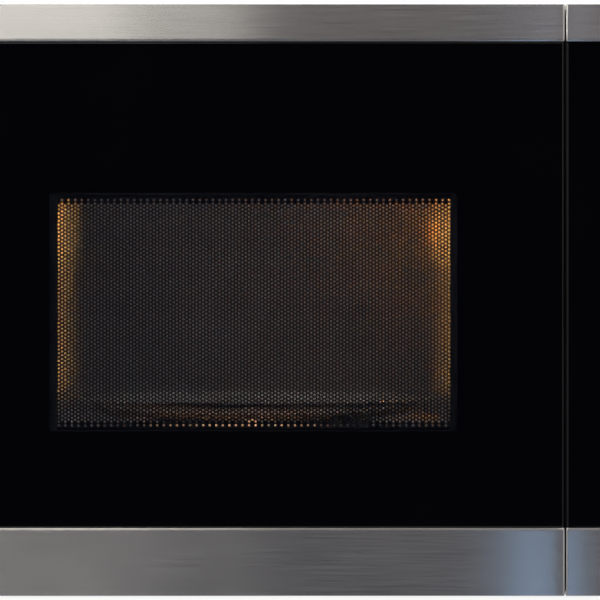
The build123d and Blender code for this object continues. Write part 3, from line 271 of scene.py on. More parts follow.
# the display's dark case, the white of the key marks, and its lit segments, which glow by themselves
displayGrey = finish("displayCaseMoulded", "#34373a", "#2a2d30", 10, (0.35, 0.5), 0.8, 0.008, IOR=1.5)
printWhite = finish("screenPrintWhite", "#dcdedd", "#cfd1d0", 4, (0.4, 0.5), 0.5, 0.002, IOR=1.5)
segmentLook = {"Roughness": 0.4, "Base Color": linear("#20282c"), "Emission Color": linear("#bfe8ff"),
               "Emission Strength": 1.4}
litSegment = startMaterial("displaySegmentLit", segmentLook)[0]
print("materials ready")


# Meshes

def gridFaces(rows, columns, closed=True):
    # quads between neighbouring rows of a grid of points, joined round its columns where it is closed
    row, column = np.mgrid[0:rows - 1, 0:columns - (0 if closed else 1)]
    here = row * columns + column
    beside = row * columns + (column + 1) % columns
    return np.stack([here, beside, beside + columns, here + columns], -1).reshape(-1, 4)


def outline(low, high, radius, inset=0.0, across=(), up=(), arc=6):
    # a rectangle with quarter-circle corners, drawn anticlockwise from its right side: each corner is its centre
    # plus (radius - inset) times (cos, sin); across and up give where the sides carry points, as shares of them
    pull, bend = max(radius, inset), max(radius - inset, 0.0)
    turn = np.linspace(0, pi / 2, arc + 1)
    middles = np.array([(high[0] - pull, high[1] - pull), (low[0] + pull, high[1] - pull),
                        (low[0] + pull, low[1] + pull), (high[0] - pull, low[1] + pull)])
    corners = [middles[k] + bend * np.stack([np.cos(turn + k * pi / 2), np.sin(turn + k * pi / 2)], -1)
               for k in range(4)]
    shares = [1 - np.array(across)[::-1], 1 - np.array(up)[::-1], np.array(across), np.array(up)]
    parts = []
    for k in range(4):
        start, stop = corners[k][-1], corners[(k + 1) % 4][0]
        parts += [corners[k], start + shares[k][:, None] * (stop - start)]
    return np.concatenate(parts)


def rings(outlines, levels, flat="y"):
    # closed rows of points, one outline for each level; flat is the axis the levels count along
    axis = "xyz".index(flat)
    return np.array([np.insert(points, axis, level, axis=1) for points, level in zip(outlines, levels)])


def lofted(rows, firstCap=True, lastCap=True):
    # a skin through rows of points, with a flat face over the first and the last row where they are capped
    count = rows.shape[1]
    faces = gridFaces(len(rows), count).tolist()
    if firstCap:
        faces.append(list(range(count))[::-1])
    if lastCap:
        faces.append(list(range((len(rows) - 1) * count, len(rows) * count)))
    return rows.reshape(-1, 3), faces


def flatPiece(points, front, back):
    # an outline as a thin flat piece between two levels
    return lofted(rings([points] * 2, [front, back]))


def turnedShape(profile, centre, axis, steps, ripple=None):
    # lathe: each (radius, level) of a closed profile goes round the axis; ripple scales the radius by its angle
    angle = np.linspace(0, 2 * pi, steps, endpoint=False)
    radius = profile[:, 0, None] * (1 + (ripple(angle)[None] * profile[:, 2, None] if ripple else 0))
    across, up = radius * np.cos(angle), radius * np.sin(angle)
    level = np.broadcast_to(profile[:, 1, None], across.shape)
    parts = {"y": (centre[0] + across, level, centre[2] + up),
             "z": (centre[0] + across, centre[1] + up, level)}[axis]
    return np.stack(parts, -1)


def merged(sets):
    # several (points, faces) as one
    points = np.concatenate([item[0] for item in sets])
    starts = np.cumsum([0] + [len(item[0]) for item in sets])
    return points, [[v + start for v in face] for item, start in zip(sets, starts) for face in item[1]]


def facing(points, faces, eye):
    # turns every face over if most of them look away from the point eye
    first = points[[face[0] for face in faces]]
    normal = np.cross(points[[face[1] for face in faces]] - first, points[[face[2] for face in faces]] - first)
    if np.sum(np.einsum("ij,ij->i", normal, eye - first) > 0) * 2 < len(faces):
        faces = [list(face)[::-1] for face in faces]
    return points, faces


def addGrainMap(mesh):
    # UV map of a brushed sheet: u climbs the sheet (z, and y where it folds back), v runs along it
    place = np.empty(len(mesh.vertices) * 3, dtype=np.float32)
    mesh.vertices.foreach_get("co", place)
    corner = np.empty(len(mesh.loops), dtype=np.int32)
    mesh.loops.foreach_get("vertex_index", corner)
    x, y, z = place.reshape(-1, 3)[corner].T
    layer = mesh.uv_layers.new(name="grain")
    layer.data.foreach_set("uv", np.stack([z + y, x + 0.3 * y], -1).ravel())


def addObject(name, data):
    made = bpy.data.objects.new(name, data)
    bpy.context.scene.collection.objects.link(made)
    return made


def seat(name, mesh, node, materials, smooth, stands=True):
    # rounds a mesh's shading up to an angle, and lets its object ride with a CAD node and stand for it
    mesh.shade_smooth()
    mesh.set_sharp_from_angle(angle=radians(smooth))
    for material in materials:
        mesh.materials.append(material)
    piece = addObject(name, mesh)
    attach(piece, bodyOf(node))
    if stands:
        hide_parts(node)
    return piece


def addPiece(name, shape, node, materials, marks=None, smooth=32, grainMap=False, closed=True, stands=True):
    # a piece of points and faces; marks gives each face's material
    points, faces = shape
    mesh = bpy.data.meshes.new(name)
    mesh.from_pydata(np.asarray(points).tolist(), [], [list(map(int, face)) for face in faces])
    if marks is not None:
        mesh.polygons.foreach_set("material_index", np.asarray(marks, dtype=np.int32))
    work = bmesh.new()
    work.from_mesh(mesh)
    bmesh.ops.remove_doubles(work, verts=work.verts, dist=1e-6)
    if closed:
        bmesh.ops.recalc_face_normals(work, faces=work.faces)
    work.to_mesh(mesh)
    work.free()
    if grainMap:
        addGrainMap(mesh)
    return seat(name, mesh, node, materials, smooth, stands)


def addModifier(piece, kind, **settings):
    modifier = piece.modifiers.new(kind.title(), kind)
    for key, value in settings.items():
        setattr(modifier, key, value)


def thicken(piece, sheet):
    # gives an open skin its sheet in mm, away from the side it shows
    addModifier(piece, "SOLIDIFY", thickness=sheet * mm, offset=-1.0)


edgeAngle = 32  # sharper edges than this are rounded and stay crisp in the shading


def softened(node, material, edge):
    # a merged copy of a CAD solid whose edges are rounded by edge mm, so that they catch the light; the normals
    # follow the large faces, so that flat sheet stays flat up to its edges
    mesh = frame["nodes"][node].data.copy()
    work = bmesh.new()
    work.from_mesh(mesh)
    bmesh.ops.remove_doubles(work, verts=work.verts, dist=2e-6)
    bmesh.ops.dissolve_limit(work, angle_limit=radians(0.5), verts=work.verts, edges=work.edges)
    work.to_mesh(mesh)
    work.free()
    for layer in list(mesh.uv_layers):
        mesh.uv_layers.remove(layer)
    mesh.materials.clear()
    piece = seat(node + "_made", mesh, node, [material], edgeAngle)
    if edge:
        addModifier(piece, "BEVEL", width=edge * mm, segments=2, limit_method="ANGLE",
                    angle_limit=radians(edgeAngle), loop_slide=True)
        addModifier(piece, "WEIGHTED_NORMAL", weight=100, keep_sharp=True)
    return piece


# Steel strips

stripShape = {"sheet": 0.8, "roll": 1.7, "doorCrown": 0.06, "doorReach": 8.0, "panelCrown": 0.17,
              "panelReach": 30.0, "glassLip": 4.1, "endFold": 1.2, "glassFold": 1.9, "outerFold": 0.25,
              "foldSpan": 3.0}


def stripSkin(node, glassSide, crown, reach):
    # folded strip: outlines step in over the rolled edge by roll*(1 - cos a) while they rise by roll*sin a, then
    # close in on the middle line; the edge's flat half is drawn out to a fold at the ends and beside the glass,
    # and near both ends the face falls back by crown*(1 - d/reach)^2
    low, high = ends(node)
    roll = stripShape["roll"] * mm
    plan = (low[[0, 2]], high[[0, 2]])
    glassEdge, outerEdge = (high[2], low[2]) if glassSide > 0 else (low[2], high[2])
    across = np.array([0.006, 0.013, 0.021, 0.03, 0.042, 0.055, 0.07, 0.09, 0.13, 0.2, 0.35, 0.5])
    across = np.concatenate([across, 1 - across[-2::-1]])
    turn = np.linspace(0, pi / 2, 7)
    inward = np.array([0.005, 0.06, 0.15, 0.28, 0.42, 0.56, 0.7, 0.85, 1.0])
    insets = [0, *(roll * (1 - np.cos(turn))), *(roll + ((high[2] - low[2]) / 2 - roll) * inward)]
    levels = [high[1], *(low[1] + roll * (1 - np.sin(turn))), *([low[1]] * len(inward))]
    outlines = [outline(*plan, roll, inset, across, (0.25, 0.5, 0.75), 5) for inset in insets]
    rows = rings(outlines, levels)
    span = stripShape["foldSpan"] * roll
    for axis, edge, sign, fold in ((0, low[0], 1, "endFold"), (0, high[0], -1, "endFold"),
                                   (2, glassEdge, -glassSide, "glassFold"),
                                   (2, outerEdge, glassSide, "outerFold")):
        fold = stripShape[fold] * mm
        away = (rows[..., axis] - edge) * sign
        drawn = np.interp(away, [0, roll / 2, roll, span], [0, 0.1 * fold, fold, span])
        rows[..., axis] = edge + sign * np.where((away > 0) & (away < span), drawn, away)
    besideGlass = np.abs(rows[0, :, 2] - glassEdge) < 0.9 * roll
    rows[0, besideGlass, 1] = low[1] + stripShape["glassLip"] * mm
    fromEnd = np.minimum(rows[..., 0] - low[0], high[0] - rows[..., 0])
    fall = crown * mm * np.clip(1 - fromEnd / (reach * mm), 0, 1) ** 2
    rows[..., 1] += fall * np.clip(1 - (rows[..., 1] - low[1]) / (high[1] - low[1]), 0, 1)
    eye = np.array([(low[0] + high[0]) / 2, low[1] - 1, (low[2] + high[2]) / 2])
    return facing(*lofted(rows, False, False), eye)


for node, glassSide in {"door_top_strip": -1, "door_bottom_strip": 1, "control_top_strip": -1,
                        "open_button_cap": 1}.items():
    part = "door" if node.startswith("door") else "panel"
    skin = stripSkin(node, glassSide, stripShape[part + "Crown"], stripShape[part + "Reach"])
    thicken(addPiece(node + "_sheet", skin, node, [stainlessBrushed], smooth=60, grainMap=True, closed=False),
            stripShape["sheet"])
print("strips ready")


# Door glass, with its clear window left in the black print

windowShape = {"width": 270.0, "height": 157.5, "corner": 2.0, "chamfer": 0.8, "land": 0.06, "paneCorner": 0.6}
windowMiddle = sum(ends("inner_window")) / 2
windowHalf = np.array([windowShape["width"], windowShape["height"]]) * mm / 2
windowLow, windowHigh = windowMiddle[[0, 2]] - windowHalf, windowMiddle[[0, 2]] + windowHalf
windowEye = windowMiddle - (0, 1, 0)  # a point in front of the door that its sheets look towards


def paneRows(low, high):
    # closed slab: window outline on the back, out to the rim, round the ground front edge by chamfer*(1 - cos a)
    # and chamfer*sin a, in to the window again
    ground = windowShape["chamfer"] * mm
    turn = np.linspace(0, pi / 2, 7)
    plan = (low[[0, 2]], high[[0, 2]])
    insets = (0, *(ground * (1 - np.cos(turn))), ground + windowShape["land"] * mm)
    pane = [outline(*plan, windowShape["paneCorner"] * mm, inset, arc=4) for inset in insets]
    window = outline(windowLow, windowHigh, windowShape["corner"] * mm, arc=4)
    levels = [high[1], high[1], *(low[1] + ground * (1 - np.sin(turn))), low[1], low[1]]
    return rings([window, *pane, window], levels)


paneShape = lofted(paneRows(*ends("door_glass")))
paneMarks = [0] * (len(paneShape[1]) - 2) + [1, 1]  # the two caps are the clear window
addPiece("door_glass_pane", paneShape, "door_glass", [printedGlass, clearGlass], paneMarks, smooth=30)


# Screen in the door: hexagonal cells round its holes, a rim and a flange

screenShape = {"columns": 120, "holes": 59, "pitch": 2.5, "bore": 1.6, "shift": 0.75, "sheet": 0.5,
               "aside": 0.5, "lower": 0.3, "corner": 6.0, "pan": 2.0, "bend": 0.6, "flangeCorner": 1.0}
hexTurn, boreTurn = np.arange(6) * pi / 3, np.arange(8) * pi / 4
cellFaces = np.array([(0, 1, 7), (0, 7, 6), (1, 8, 7), (1, 2, 8), (2, 9, 8), (2, 3, 9), (3, 10, 9), (3, 4, 10),
                      (4, 11, 10), (4, 12, 11), (4, 5, 12), (5, 13, 12), (5, 0, 13), (0, 6, 13)])


def holeField(columns, rows, pitch, bore, shift, edgeU, edgeV):
    # hexagonal lattice: columns stand pitch*sqrt(3)/2 apart, their holes a pitch apart, and every other column is
    # moved by shift either way; each hole is eight points in a cell of six. Blank cells close each column's ends,
    # and the outermost corners of the cells are drawn onto the straight edges edgeU and edgeV
    step, reach = pitch * sqrt(3) / 2, pitch / sqrt(3)
    u, v = np.meshgrid(np.asarray(columns) * step, (np.arange(rows) - (rows - 1) / 2) * pitch, indexing="ij")
    side = np.where(np.floor(np.asarray(columns)) % 2 == 0, -1, 1)
    v = v + side[:, None] * shift * pitch
    end = (rows - 1) / 2 * pitch + pitch
    blanks = []
    for level, chosen in ((end, side != 0), (end + pitch, side < 0), (-end, side != 0), (-end - pitch, side > 0)):
        blanks.append(np.stack([u[chosen, 0], level + side[chosen] * shift * pitch], -1))
    blanks = np.concatenate(blanks)
    cells = np.stack([u.ravel(), v.ravel()], -1)
    hexagon = reach * np.stack([np.cos(hexTurn), np.sin(hexTurn)], -1)
    circle = bore / 2 * np.stack([np.cos(boreTurn), np.sin(boreTurn)], -1)

    def drawn(corners):
        # corners past an edge, or nearly at it, go onto it
        for axis, edges, slack in ((0, edgeU, 0.2 * pitch), (1, edgeV, 0.45 * pitch)):
            value = corners[..., axis]
            value[value < edges[0] + slack] = edges[0]
            value[value > edges[1] - slack] = edges[1]
        return corners

    outer, blank = drawn(cells[:, None] + hexagon), drawn(blanks[:, None] + hexagon)
    holed = np.concatenate([outer, cells[:, None] + circle], 1)
    points = np.concatenate([holed.reshape(-1, 2), blank.reshape(-1, 2)])
    faces = (np.arange(len(cells))[:, None, None] * 14 + cellFaces).reshape(-1, 3).tolist()
    faces += (len(cells) * 14 + np.arange(len(blanks))[:, None] * 6 + np.arange(6)).tolist()
    return points, faces


pitch = screenShape["pitch"] * mm
screenMiddle = windowMiddle + np.array([screenShape["aside"], 0, -screenShape["lower"]]) * mm
screenLow, screenHigh = ends("rf_screen")
screenFront = screenLow[1]
fieldU = screenShape["columns"] / 2 * pitch * sqrt(3) / 2
fieldV = (screenShape["holes"] / 2 + 1.5) * pitch
halfCount = screenShape["columns"] // 2
for name, first, edgeU in (("left", -halfCount, (-fieldU, 0)), ("right", 0, (0, fieldU))):
    columns = np.arange(halfCount) + 0.5 + first
    flat, cells = holeField(columns, screenShape["holes"], pitch, screenShape["bore"] * mm, screenShape["shift"],
                            edgeU, (-fieldV, fieldV))
    points = np.stack([screenMiddle[0] + flat[:, 0], np.full(len(flat), screenFront),
                       screenMiddle[2] + flat[:, 1]], -1)
    thicken(addPiece("rf_screen_holes_" + name, facing(points, cells, windowEye), "rf_screen", [screenEnamel],
                     closed=False, stands=False), screenShape["sheet"])


def rimSkin():
    # the field's edge runs out to the pan's wall, bends back by bend*(1 - cos a), goes straight back, and bends
    # out into the flange
    panLow, panHigh = windowLow - screenShape["pan"] * mm, windowHigh + screenShape["pan"] * mm
    turn = np.linspace(0, pi / 2, 5)
    bend, corner = screenShape["bend"] * mm, screenShape["corner"] * mm
    back = screenHigh[1] - screenShape["sheet"] * mm
    middle = screenMiddle[[0, 2]]
    outlines = [outline(middle - (fieldU, fieldV), middle + (fieldU, fieldV), 0.0),
                *(outline(panLow, panHigh, corner, inset) for inset in bend * (1 - np.sin(turn))),
                outline(panLow, panHigh, corner, 0),
                *(outline(panLow - bend * (1 - cos(a)), panHigh + bend * (1 - cos(a)), corner) for a in turn[1:]),
                outline(screenLow[[0, 2]], screenHigh[[0, 2]], screenShape["flangeCorner"] * mm)]
    levels = [screenFront, *(screenFront + bend * (1 - np.cos(turn))), back - bend,
              *(back - bend * (1 - np.sin(turn[1:]))), back]
    return facing(*lofted(rings(outlines, levels), False, False), windowEye)


thicken(addPiece("rf_screen_rim", rimSkin(), "rf_screen", [screenEnamel], smooth=50, closed=False),
        screenShape["sheet"])
print("door screen ready")


# Oven; guideWindow and lampPatch are (back, up) ranges on its right wall, cuts the rows across, back and up

ovenShape = {"wall": 1.0, "corner": 14.0, "flange": 8.0, "mouth": 1.2, "mouthBend": 0.35, "cuts": (12, 10, 8),
             "guideWindow": ((-41.0, 33.0), (160.0, 204.0)), "lampPatch": ((78.0, 106.0), (248.0, 276.0)),
             "shaftHole": 6.0, "shaftSquare": 14.0, "grilleBore": 2.4, "grillePitch": 3.4, "grilleEdge": 3.0}
cavityLow, cavityHigh = ends("cavity")
ovenLow = cavityLow[[0, 2]] + ovenShape["flange"] * mm
ovenHigh = cavityHigh[[0, 2]] - ovenShape["flange"] * mm
ovenFront, ovenBack = cavityLow[1], cavityHigh[1] - ovenShape["wall"] * mm
plateMiddle = sum(ends("turntable_plate")) / 2
ovenEye = np.array([(ovenLow[0] + ovenHigh[0]) / 2, (ovenFront + ovenBack) / 2, (ovenLow[1] + ovenHigh[1]) / 2])


def shares(values, start, stop):
    # sorted places as shares of the way from start to stop
    return (np.array(sorted(values)) - start) / (stop - start)


def within(values, pair):
    return (values > min(pair)) & (values < max(pair))


def linerSkin(guide, lamp, shaft):
    # outlines of the oven's section go back from the flange, and close in over the rear fillet by
    # corner*(1 - cos a) while they go back by corner*sin a; quads on the two patches and the square are left out
    corner, mouth, mouthBend = (ovenShape[key] * mm for key in ("corner", "mouth", "mouthBend"))
    (gy, gz), (ly, lz) = guide, lamp
    cutsX, cutsY, cutsZ = ovenShape["cuts"]
    low, high = ovenLow + corner, ovenHigh - corner
    across = shares([*np.linspace(low[0], high[0], cutsX)[1:-1], *shaft[:, 0]], low[0], high[0])
    up = shares([*gz, *lz, *np.linspace(low[1], high[1], cutsZ)[1:-1]], low[1], high[1])
    turn = np.linspace(0, pi / 2, 9)[1:]
    ys = sorted([*gy, *ly, *shaft[:, 1], *np.linspace(ovenFront + 2 * mm, ovenBack - corner, cutsY)])
    insets = [-ovenShape["flange"] * mm, -mouth, -mouthBend, 0.0, *([0.0] * len(ys)),
              *(corner * (1 - np.cos(turn)))]
    levels = [ovenFront, ovenFront, ovenFront + mouthBend, ovenFront + mouth, *ys,
              *(ovenBack - corner + corner * np.sin(turn))]
    outlines = [outline(ovenLow, ovenHigh, corner, inset, across, up, 8) for inset in insets]
    points, faces = lofted(rings(outlines, levels), False, True)
    back, quads = faces[-1], np.array(faces[:-1])
    middle = points[quads].mean(1)
    right = np.abs(middle[:, 0] - ovenHigh[0]) < 1e-5
    floor = np.abs(middle[:, 2] - ovenLow[1]) < 1e-5
    out = right & within(middle[:, 1], gy) & within(middle[:, 2], gz)
    out |= right & within(middle[:, 1], ly) & within(middle[:, 2], lz)
    out |= floor & within(middle[:, 0], shaft[:, 0]) & within(middle[:, 1], shaft[:, 1])
    return points, quads[~out].tolist() + [back]


def grilleSkins(middle, half):
    # the lamp's patch: a field of holes as in the screen, and a border from it out to the patch's edge
    step = ovenShape["grillePitch"] * mm
    room = 2 * (half - ovenShape["grilleEdge"] * mm)
    count = int(room / (step * sqrt(3) / 2) // 2 * 2)
    rows = int(room / step - 1.5)
    edge = np.array([count / 2 * step * sqrt(3) / 2, (rows / 2 + 1.5) * step])
    flat, cells = holeField(np.arange(count) - count / 2 + 0.5, rows, step, ovenShape["grilleBore"] * mm,
                            screenShape["shift"], (-edge[0], edge[0]), (-edge[1], edge[1]))
    field = np.stack([np.full(len(flat), ovenHigh[0]), middle[0] + flat[:, 0], middle[1] + flat[:, 1]], -1)
    inner = outline(middle - edge, middle + edge, 0.0, arc=1)
    outer = outline(middle - half, middle + half, 0.0, arc=1)
    return (field, cells), lofted(rings([outer, inner], [ovenHigh[0]] * 2, "x"), False, False)


def ovenSkin():
    # liner, the floor's square with its round hole for the shaft, and the lamp's patch, all facing inwards
    guide, lamp = (np.array(ovenShape[key]) * mm for key in ("guideWindow", "lampPatch"))
    middle, bore = plateMiddle[:2], ovenShape["shaftHole"] * mm
    shaft = middle + np.array([[-1, -1], [1, 1]]) * ovenShape["shaftSquare"] * mm
    hole = lofted(rings([outline(*shaft, 0.0, arc=8), outline(middle - bore, middle + bore, bore, arc=8)],
                        [ovenLow[1]] * 2, "z"), False, False)
    skins = [linerSkin(guide, lamp, shaft), hole, *grilleSkins(lamp.mean(1), (lamp[0][1] - lamp[0][0]) / 2)]
    return merged([facing(*skin, ovenEye) for skin in skins])


thicken(addPiece("cavity_liner", ovenSkin(), "cavity", [ovenEnamel], smooth=50, closed=False), ovenShape["wall"])

plateShape = {"glass": 4.0, "rimHeight": 12.0, "well": 22.0, "bead": 1.5, "rimOuter": 2.0, "rimInner": 4.0,
              "rimDrop": 3.2, "groove": ((60.0, 0.0), (59.4, 0.5), (58.0, 0.5), (57.4, 0.0)), "steps": 128}


def plateSkin():
    # pressed glass plate: its section runs from the middle of the underside out over the rising well, whose
    # slope follows 3t^2 - 2t^3, round the rolled rim, and back in along the top
    low, high = ends("turntable_plate")
    base, radius = low[2] / mm, (high[0] - low[0]) / 2 / mm
    well, glass, height = radius - plateShape["well"], plateShape["glass"], plateShape["rimHeight"]
    outer, inner, bead = radius - plateShape["rimOuter"], radius - plateShape["rimInner"], plateShape["bead"]
    t = np.linspace(0, 1, 9)
    ease = t * t * (3 - 2 * t)
    under = [(well + (outer - well) * a, base + (height - plateShape["rimDrop"]) * b) for a, b in zip(t, ease)]
    over = [(inner + (well - 2 - inner) * a, base + height - (height - glass) * b) for a, b in zip(t, ease)]
    rim = [(radius - bead + bead * cos(a), base + height - bead + bead * sin(a))
           for a in np.linspace(-pi / 2, pi / 2, 9)]
    top = base + glass
    profile = [(0.001, base), (12, base), (30, base), (60, base), (well - 12, base), *under, *rim, *over,
               (well - 14, top), *((r, top - depth) for r, depth in plateShape["groove"]), (30, top), (12, top),
               (0.001, top)]
    return lofted(turnedShape(np.array(profile) * mm, plateMiddle, "z", plateShape["steps"]))


addPiece("turntable_plate_glass", plateSkin(), "turntable_plate", [pressedGlass], smooth=40)
print("oven ready")


# Knob, keys and display; the knob's skirt is given as (inside the radius, before the back, share of the flutes)

knobShape = {"flutes": 48, "fluteDepth": 0.012, "dish": 0.6, "lip": 3.2, "lipRound": 2.2, "lipFlat": 0.7,
             "shoulder": ((0.7, 2.6, 0.3), (0.6, 3.4, 1)),
             "skirt": ((0.75, 4.2, 1), (0.75, 3.4, 0.3), (0.3, 2.6, 0), (0, 1.6, 0), (0, 0.5, 0), (0.5, 0, 0),
                       (4, 0, 0), (4, 7, 0)), "steps": 384}


def flutes(angle):
    # depth*(cos(n a) - 1): nothing on the crests, twice the depth in the grooves
    return knobShape["fluteDepth"] * (np.cos(knobShape["flutes"] * angle) - 1)


def knobSkin():
    # turned body: radius, level and how deep the flutes cut (0 to 1) for each point of its section; the face is
    # dished by dish*(1 - (r/R)^2)
    low, high = ends("selector_knob")
    radius, front, back = (high[0] - low[0]) / 2 / mm, low[1] / mm, high[1] / mm
    rim, lipRound = radius - knobShape["lip"], knobShape["lipRound"]
    face = [(r, front + knobShape["dish"] * (1 - (r / rim) ** 2), 0) for r in np.linspace(0.001, rim, 9)]
    lip = [(rim + lipRound * sin(a), front + lipRound * (1 - cos(a)) * knobShape["lipFlat"], 0)
           for a in np.linspace(0, pi / 2, 6)[1:]]
    profile = [*face, *lip, *((radius - inside, front + behind, cut) for inside, behind, cut in
                              knobShape["shoulder"]),
               *((radius - inside, back - before, cut) for inside, before, cut in knobShape["skirt"]),
               (0.001, back - knobShape["skirt"][-1][1], 0)]
    return lofted(turnedShape(np.array(profile) * (mm, mm, 1), (low + high) / 2, "y", knobShape["steps"], flutes))


addPiece("selector_knob_turned", knobSkin(), "selector_knob", [absBlack], smooth=40)

keyLook = {"half": (15.0, 5.0), "corner": 4.98, "edge": 0.9, "crown": 0.25, "intoPanel": 2.6, "markThick": 0.04,
           "markSize": 1.7}
# generic signs as angles and radii: a ring of teeth, a ring of spikes, a square and a triangle
spokes = np.arange(24) * pi / 12
keyMarks = {"key_power": (spokes, 0.72 + 0.28 * np.sign(np.sin(spokes * 6 + 0.4))),
            "key_defrost": (spokes, np.where(np.arange(24) % 4 == 0, 1.15, 0.3)),
            "key_stop": (np.arange(4) * pi / 2 + pi / 4, 1), "key_start": (np.arange(3) * 2 * pi / 3, 1)}


def padSkin(middle, front, back):
    # a low pad: its edge is a quarter circle, and its face rises inwards by crown*(1 - s^2), s = 1 at its rim
    half, edge, crown = np.array(keyLook["half"]) * mm, keyLook["edge"] * mm, keyLook["crown"] * mm
    turn = np.linspace(0, pi / 2, 5)
    s = np.array([0.8, 0.6, 0.4, 0.2, 0.02])
    insets = [0, *(edge * (1 - np.cos(turn))), *(edge + (half[1] - edge) * (1 - s))]
    levels = [back, *(front + crown + edge * (1 - np.sin(turn))), *(front + crown * s ** 2)]
    outlines = [outline(middle - half, middle + half, keyLook["corner"] * mm, inset, (0.25, 0.5, 0.75), (), 8)
                for inset in insets]
    return lofted(rings(outlines, levels))


for key, (turn, reach) in keyMarks.items():
    low, high = ends(key)
    middle = ((low + high) / 2)[[0, 2]]
    back = ends("control_glass")[1][1] + keyLook["intoPanel"] * mm
    addPiece(key + "_cap", padSkin(middle, low[1], back), key, [absBlack], smooth=40)
    mark = middle + keyLook["markSize"] * mm * np.stack([reach * np.cos(turn), reach * np.sin(turn)], -1)
    addPiece(key + "_mark", flatPiece(mark, low[1], low[1] + keyLook["markThick"] * mm), key, [printWhite],
             smooth=20, stands=False)

displayLook = {"time": "1200", "digitHeight": 11.0, "digitWidth": 0.52, "slant": 0.08, "bar": 1.5, "apart": 9.6,
               "start": 1.9, "colonGap": 0.35, "dot": 0.7, "dotAside": 0.2, "dotLevels": (0.3, 0.7),
               "sunk": (0.25, 0.05), "edge": 3.0}
segments = {"0": "abcdef", "1": "bc", "2": "abged", "3": "abgcd", "4": "fgbc", "5": "afgcd", "6": "afgedc",
            "7": "abc", "8": "abcdefg", "9": "abcdfg"}
segmentSpots = {"a": ((0, 1), (1, 1)), "b": ((1, 1), (1, 0.5)), "c": ((1, 0.5), (1, 0)), "d": ((0, 0), (1, 0)),
                "e": ((0, 0.5), (0, 0)), "f": ((0, 1), (0, 0.5)), "g": ((0, 0.5), (1, 0.5))}
displayLow, displayHigh = ends("display_module")


def segmentBar(letter, left, low, height):
    # one bar of a digit: a long hexagon between two of the digit's six corners, slanted with the digit
    bar, width = displayLook["bar"] * mm, height * displayLook["digitWidth"]
    start, stop = [np.array([left + p[0] * width, low + p[1] * height]) for p in segmentSpots[letter]]
    along = (stop - start) / np.linalg.norm(stop - start)
    side = np.array([-along[1], along[0]]) * bar / 2
    start, stop = start + along * 0.15 * bar, stop - along * 0.15 * bar
    tip = along * bar / 2
    flat = np.array([start, start + tip + side, stop - tip + side, stop, stop - tip - side, start + tip - side])
    flat[:, 0] += (flat[:, 1] - low) * displayLook["slant"]
    return flat


def digitShapes():
    # the time's lit bars and the colon's two dots, just behind the display's front
    height, apart = displayLook["digitHeight"] * mm, displayLook["apart"] * mm
    centre = (displayLow[0] + displayHigh[0]) / 2
    low = (displayLow[2] + displayHigh[2]) / 2 - height / 2
    flats = []
    for place, digit in enumerate(displayLook["time"]):
        gap = displayLook["colonGap"] if place > 1 else 0
        left = centre + (place - displayLook["start"] + gap) * apart
        flats += [segmentBar(letter, left, low, height) for letter in segments[digit]]
    circle = displayLook["dot"] * mm * np.stack([np.cos(boreTurn), np.sin(boreTurn)], -1)
    for level in displayLook["dotLevels"]:
        flats.append(np.array([centre + displayLook["dotAside"] * mm, low + level * height]) + circle)
    return [flatPiece(flat, *(displayLow[1] - depth * mm for depth in displayLook["sunk"])) for flat in flats]


def addControlGlass():
    # the panel's glass keeps its CAD shape; its faces are cut along a rectangle over the display, and what lies
    # inside that rectangle has no print behind it
    pane = softened("control_glass", printedGlass, 0)
    pane.data.materials.append(clearGlass)
    low, high = displayLow + displayLook["edge"] * mm, displayHigh - displayLook["edge"] * mm
    work = bmesh.new()
    work.from_mesh(pane.data)
    for axis in (0, 2):
        for value in (low[axis], high[axis]):
            spot, normal = Vector((0, 0, 0)), Vector((0, 0, 0))
            spot[axis], normal[axis] = value, 1
            bmesh.ops.bisect_plane(work, geom=work.verts[:] + work.edges[:] + work.faces[:], dist=1e-7,
                                   plane_co=spot, plane_no=normal)
    for face in work.faces:
        middle = face.calc_center_median()
        inside = low[0] < middle.x < high[0] and low[2] < middle.z < high[2]
        face.material_index = int(inside and abs(face.normal.y) > 0.99)
    work.to_mesh(pane.data)
    work.free()


print("controls ready")


# The other pieces keep their CAD shape, with edges rounded by this many mm where they show

shownEdges = (
    (zincSheet, {"front_plate": 0.2, "outer_cover": 0.3, "base_plate": 0.2, "rear_panel": 0.25,
                 "waveguide": 0.2, "magnetron_yoke": 0.3, "lamp_socket": 0.2, "capacitor_clamp": 0.2,
                 "hinge_brackets": 0.25}),
    (absBlack, {"door_frame": 0.2, "control_frame": 0.2, "choke_cover": 0.3, "mains_gland": 0.4,
                "micro_switches": 0.3}),
    (absGrey, {"open_button_carrier": 0.2, "fan_shroud": 0.4, "latch_bar": 0.2, "fan_impeller": 0.2,
               "encoder": 0.2}),
    (acetalWhite, {"roller_ring": 0.4, "roller_1": 0.4, "roller_2": 0.4, "roller_3": 0.4,
                   "turntable_coupler": 0.5, "interlock_bracket": 0.3, "release_lever": 0.3}),
    (doorCoat, {"choke_ring": 0.15, "door_back_plate": 0.15}),
    (copperWire, {"transformer_windings": 1.0}),
    (coreSheet, {"transformer_core": 0.3, "fan_motor": 0.3}),
    (aluminiumDrawn, {"magnetron_anode": 0.2, "capacitor": 0.8}),
    (steelPlated, {"magnetron_filter_box": 0.3, "cover_screws": 0.2, "turntable_motor": 0.3,
                   "thermal_cutouts": 0.2, "selector_shaft": 0.2}),
    (micaSheet, {"waveguide_cover": 0.1}), (boardGreen, {"control_board": 0.15}),
    (boardBrown, {"filter_board": 0.15}), (rubberBlack, {"feet": 0.8}), (displayGrey, {"display_module": 0.2}),
    (clearSheet, {"inner_window": 0}), (blownGlass, {"lamp_bulb": 0}),
)
for material, nodes in shownEdges:
    for node, edge in nodes.items():
        softened(node, material, edge)
addControlGlass()
addPiece("display_digits", merged(digitShapes()), "display_module", [litSegment], smooth=20, stands=False)
print("other pieces ready")


# Stage, light and camera

